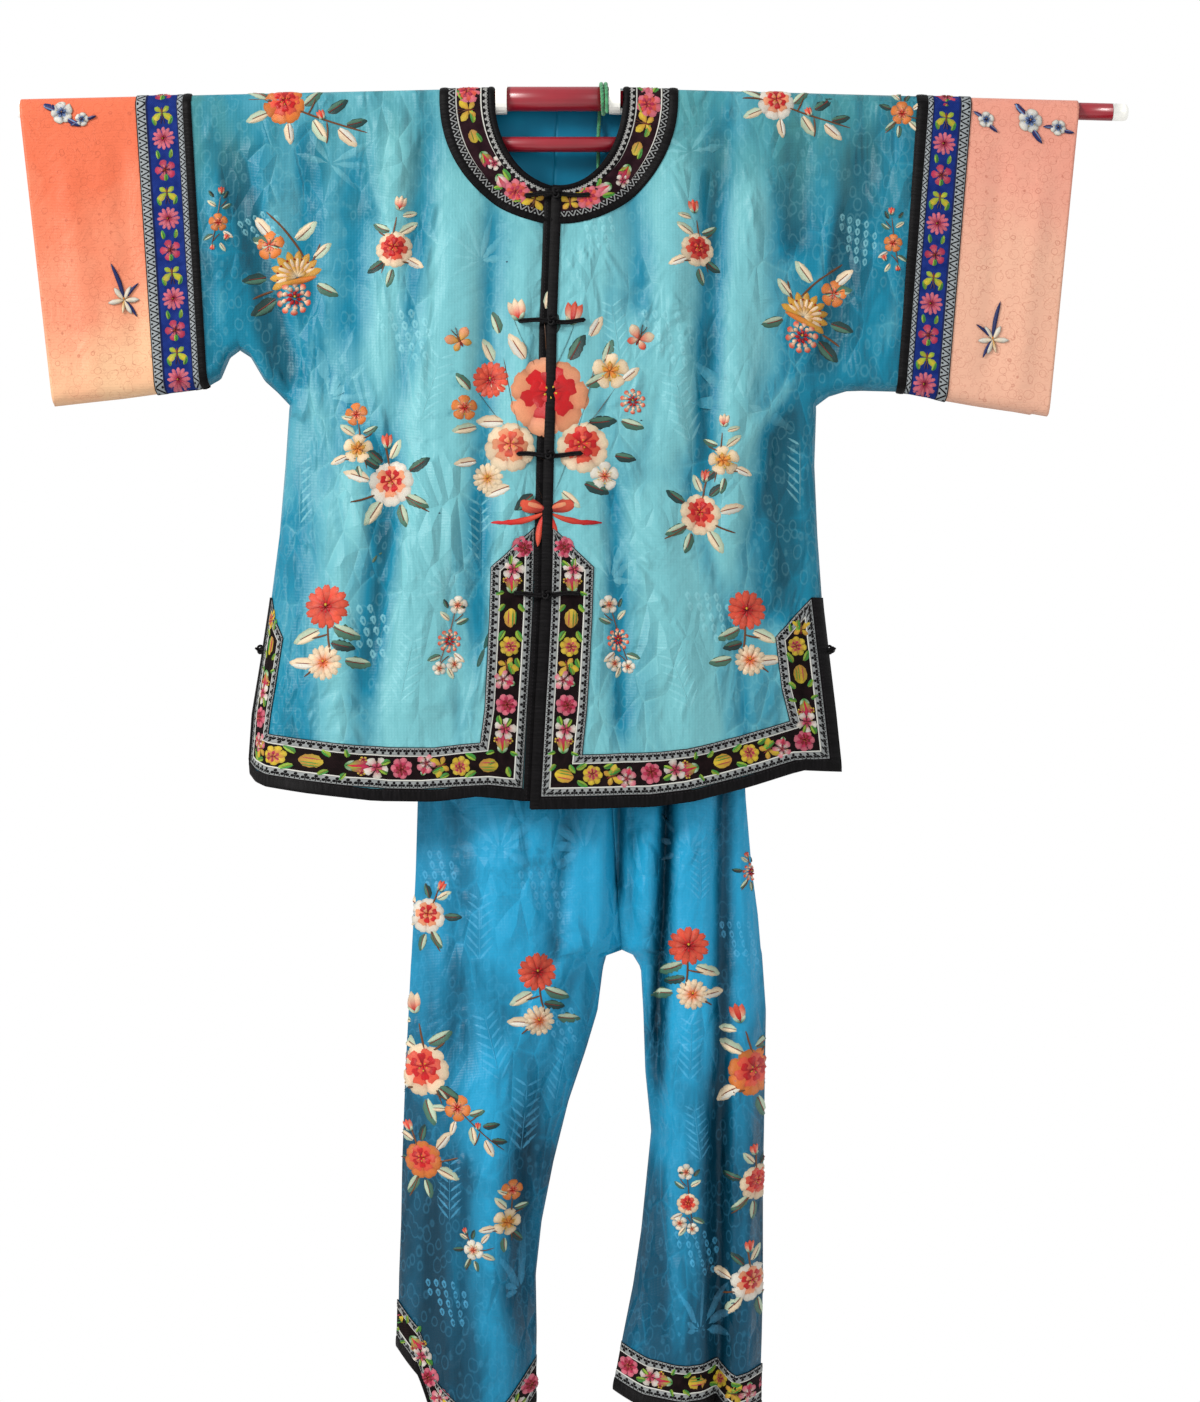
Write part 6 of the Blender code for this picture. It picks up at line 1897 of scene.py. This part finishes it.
def bamboo(pairs=7):
    """A frond: a thin stem with narrow pointed leaves set in pairs."""
    leaf_rows = [
        petal(0, 0.9 * i, 90 + s * (38 + 3 * i), 2.1 - 0.12 * i, 0.40, (1, 1, 1), (0.7, 0.7, 0.7), 0, 0.8, 0.9, 0.04 * s)
        for i in range(pairs) for s in (-1, 1)
    ]
    return np.r_[petal(0, -0.6, 90, 0.9 * pairs + 0.6, 0.10, (1, 1, 1), (1, 1, 1), 0, 1, 0.2), *leaf_rows]


def long_leaves():
    """A fan of long pointed blades."""
    return np.concatenate([
        petal(0, 0, a, l, 0.95, (0.8, 0.8, 0.8), (0.2, 0.2, 0.2), 0.0001 * (i % 2), 0.8, 0.9, b)
        for i, (a, l, b) in enumerate((
            (150, 5.0, 0.05), (118, 6.2, 0.03), (88, 6.6, -0.02), (58, 5.8, -0.04), (28, 4.8, -0.05),
            (-12, 4.0, -0.05), (188, 4.2, 0.06)
        ))
    ])


FIGURES = {"grapes": grapes(), "bamboo": bamboo(), "leaves": long_leaves()}


def woven(name, surface, table, material, depth_at, folds, behind, within):
    """Figures on a surface in its own silk, each part as pale as its tone, with none past the cloth's edges."""
    rows = []
    for kind, places in table.items():
        for px, py, size, angle in places:
            x, z = on_cloth(px, py, depth_at)
            rows.append(turned(FIGURES[kind], x, z, angle, size / 1000))
    rows = np.concatenate(rows)
    turn = np.radians(rows[:, 2])
    tip_x, tip_z = rows[:, 0] + rows[:, 3] * np.cos(turn), rows[:, 1] + rows[:, 3] * np.sin(turn)
    rows = rows[within(tip_x, tip_z) & within(rows[:, 0], rows[:, 1])]
    for back in (False, True):
        lay = behind(rows) if back else rows
        points, faces, normals, tint, _ = motif_points(surface, lay, 0.00035, -0.0003, (7, 3), 0.0001)
        high = rod_height(points[..., 0]) if folds is FRONT_FOLDS else 0
        # The fold heights under the figures, so that they take the same painted highlight on ridges and painted shade
        # in troughs as the silk.
        ridge = folds_at(
            points[..., 0], np.minimum(points[..., 2] - high, 0), folds
        ) / 0.006 if not back else 0 * points[..., 0]
        figure = mesh_piece(
            f"{name}_{'back' if back else 'front'}", points, faces, material, normals,
            {"ridge": ridge, "figure": np.clip(tint[..., 0], 0, 1)}
        )


# Woven figures by kind: place in the front view, size, turn.
JACKET_FIGURES = {
    "grapes": [
        (408, 318, 11, 6), (672, 320, 11, -4), (366, 612, 11, 4), (712, 600, 10, 0), (262, 215, 9, 20),
        (862, 222, 9, -16), (596, 215, 9, 0),
    ],
    "leaves": [
        (330, 395, 14, 15), (745, 400, 15, -10), (446, 590, 12, 0), (610, 580, 12, 10),
        (330, 160, 10, -30), (690, 150, 10, 30), (480, 260, 9, 20),
    ],
    "bamboo": [
        (420, 420, 12, -18), (690, 440, 12, 14), (400, 700, 11, -12), (690, 706, 11, 20),
        (480, 560, 10, 0), (620, 360, 10, 8), (800, 500, 11, 0), (300, 520, 11, 0),
    ],
}
LEG_FIGURES = {
    "grapes": [
        (436, 860, 10, 0), (546, 880, 10, 0), (556, 1010, 9, 10), (700, 1240, 9, 0), (744, 930, 9, 0),
        (450, 1290, 9, 0),
    ],
    "leaves": [
        (500, 850, 13, -14), (585, 850, 11, 20), (520, 1290, 12, 0), (700, 1330, 10, 0), (690, 850, 8, 10),
    ],
    "bamboo": [
        (520, 1150, 12, -6), (500, 1080, 11, 14), (555, 1100, 10, -12), (690, 1080, 10, -2),
        (700, 1160, 9, 6), (480, 960, 11, 0), (700, 900, 8, 0), (450, 1220, 10, 0),
    ],
}


def on_jacket(x, z):
    """Clear of the opening, the neck, the sides below the sleeves, and the ribbon along the hem."""
    sides = (x > read(z, LINES, 2) + 0.012) & (x < read(z, LINES, 3) - 0.012) | (z > -0.20)
    centre = np.abs(x - read(z, LINES, 1))
    return sides & (centre > np.where(
        z < -0.43, 0.056, 0.014
    )) & (z > read(x, HEM, 1) + 0.056) & (z < -0.01) & (np.abs(x) < 0.35)


woven(
    "woven_figures", jacket, JACKET_FIGURES, jacket_silk, jacket_front_depth, FRONT_FOLDS,
    mirrored_behind, on_jacket
)
for side, word, surface in ((-1, "right", leg_right), (1, "left", leg_left)):
    mine = {kind: [row for row in rows if (row[0] < 612) == (side < 0)] for kind, rows in LEG_FIGURES.items()}

    def round_leg(rows, side=side):
        rows = rows.copy()
        rows[:, 0] = 2 * read(rows[:, 1], LEGS[side], 1) - rows[:, 0]
        rows[:, 2] = 180 - rows[:, 2]
        return rows

    def on_leg(x, z, side=side):
        """Clear of the leg's two edges and of the ribbon at its hem."""
        outer, inner = read(z, LEGS[side], 1), read(z, LEGS[side], 2)
        share = (x - outer) / (inner - outer)
        return (share > 0.04) & (share < 0.95) & (z > np.interp(share, *LEG_HEM[side].T) + 0.05)

    woven(
        f"leg_figures_{word}", surface, mine, trouser_silk, leg_front_depth, LEG_FRONT_FOLDS,
        round_leg, on_leg
    )
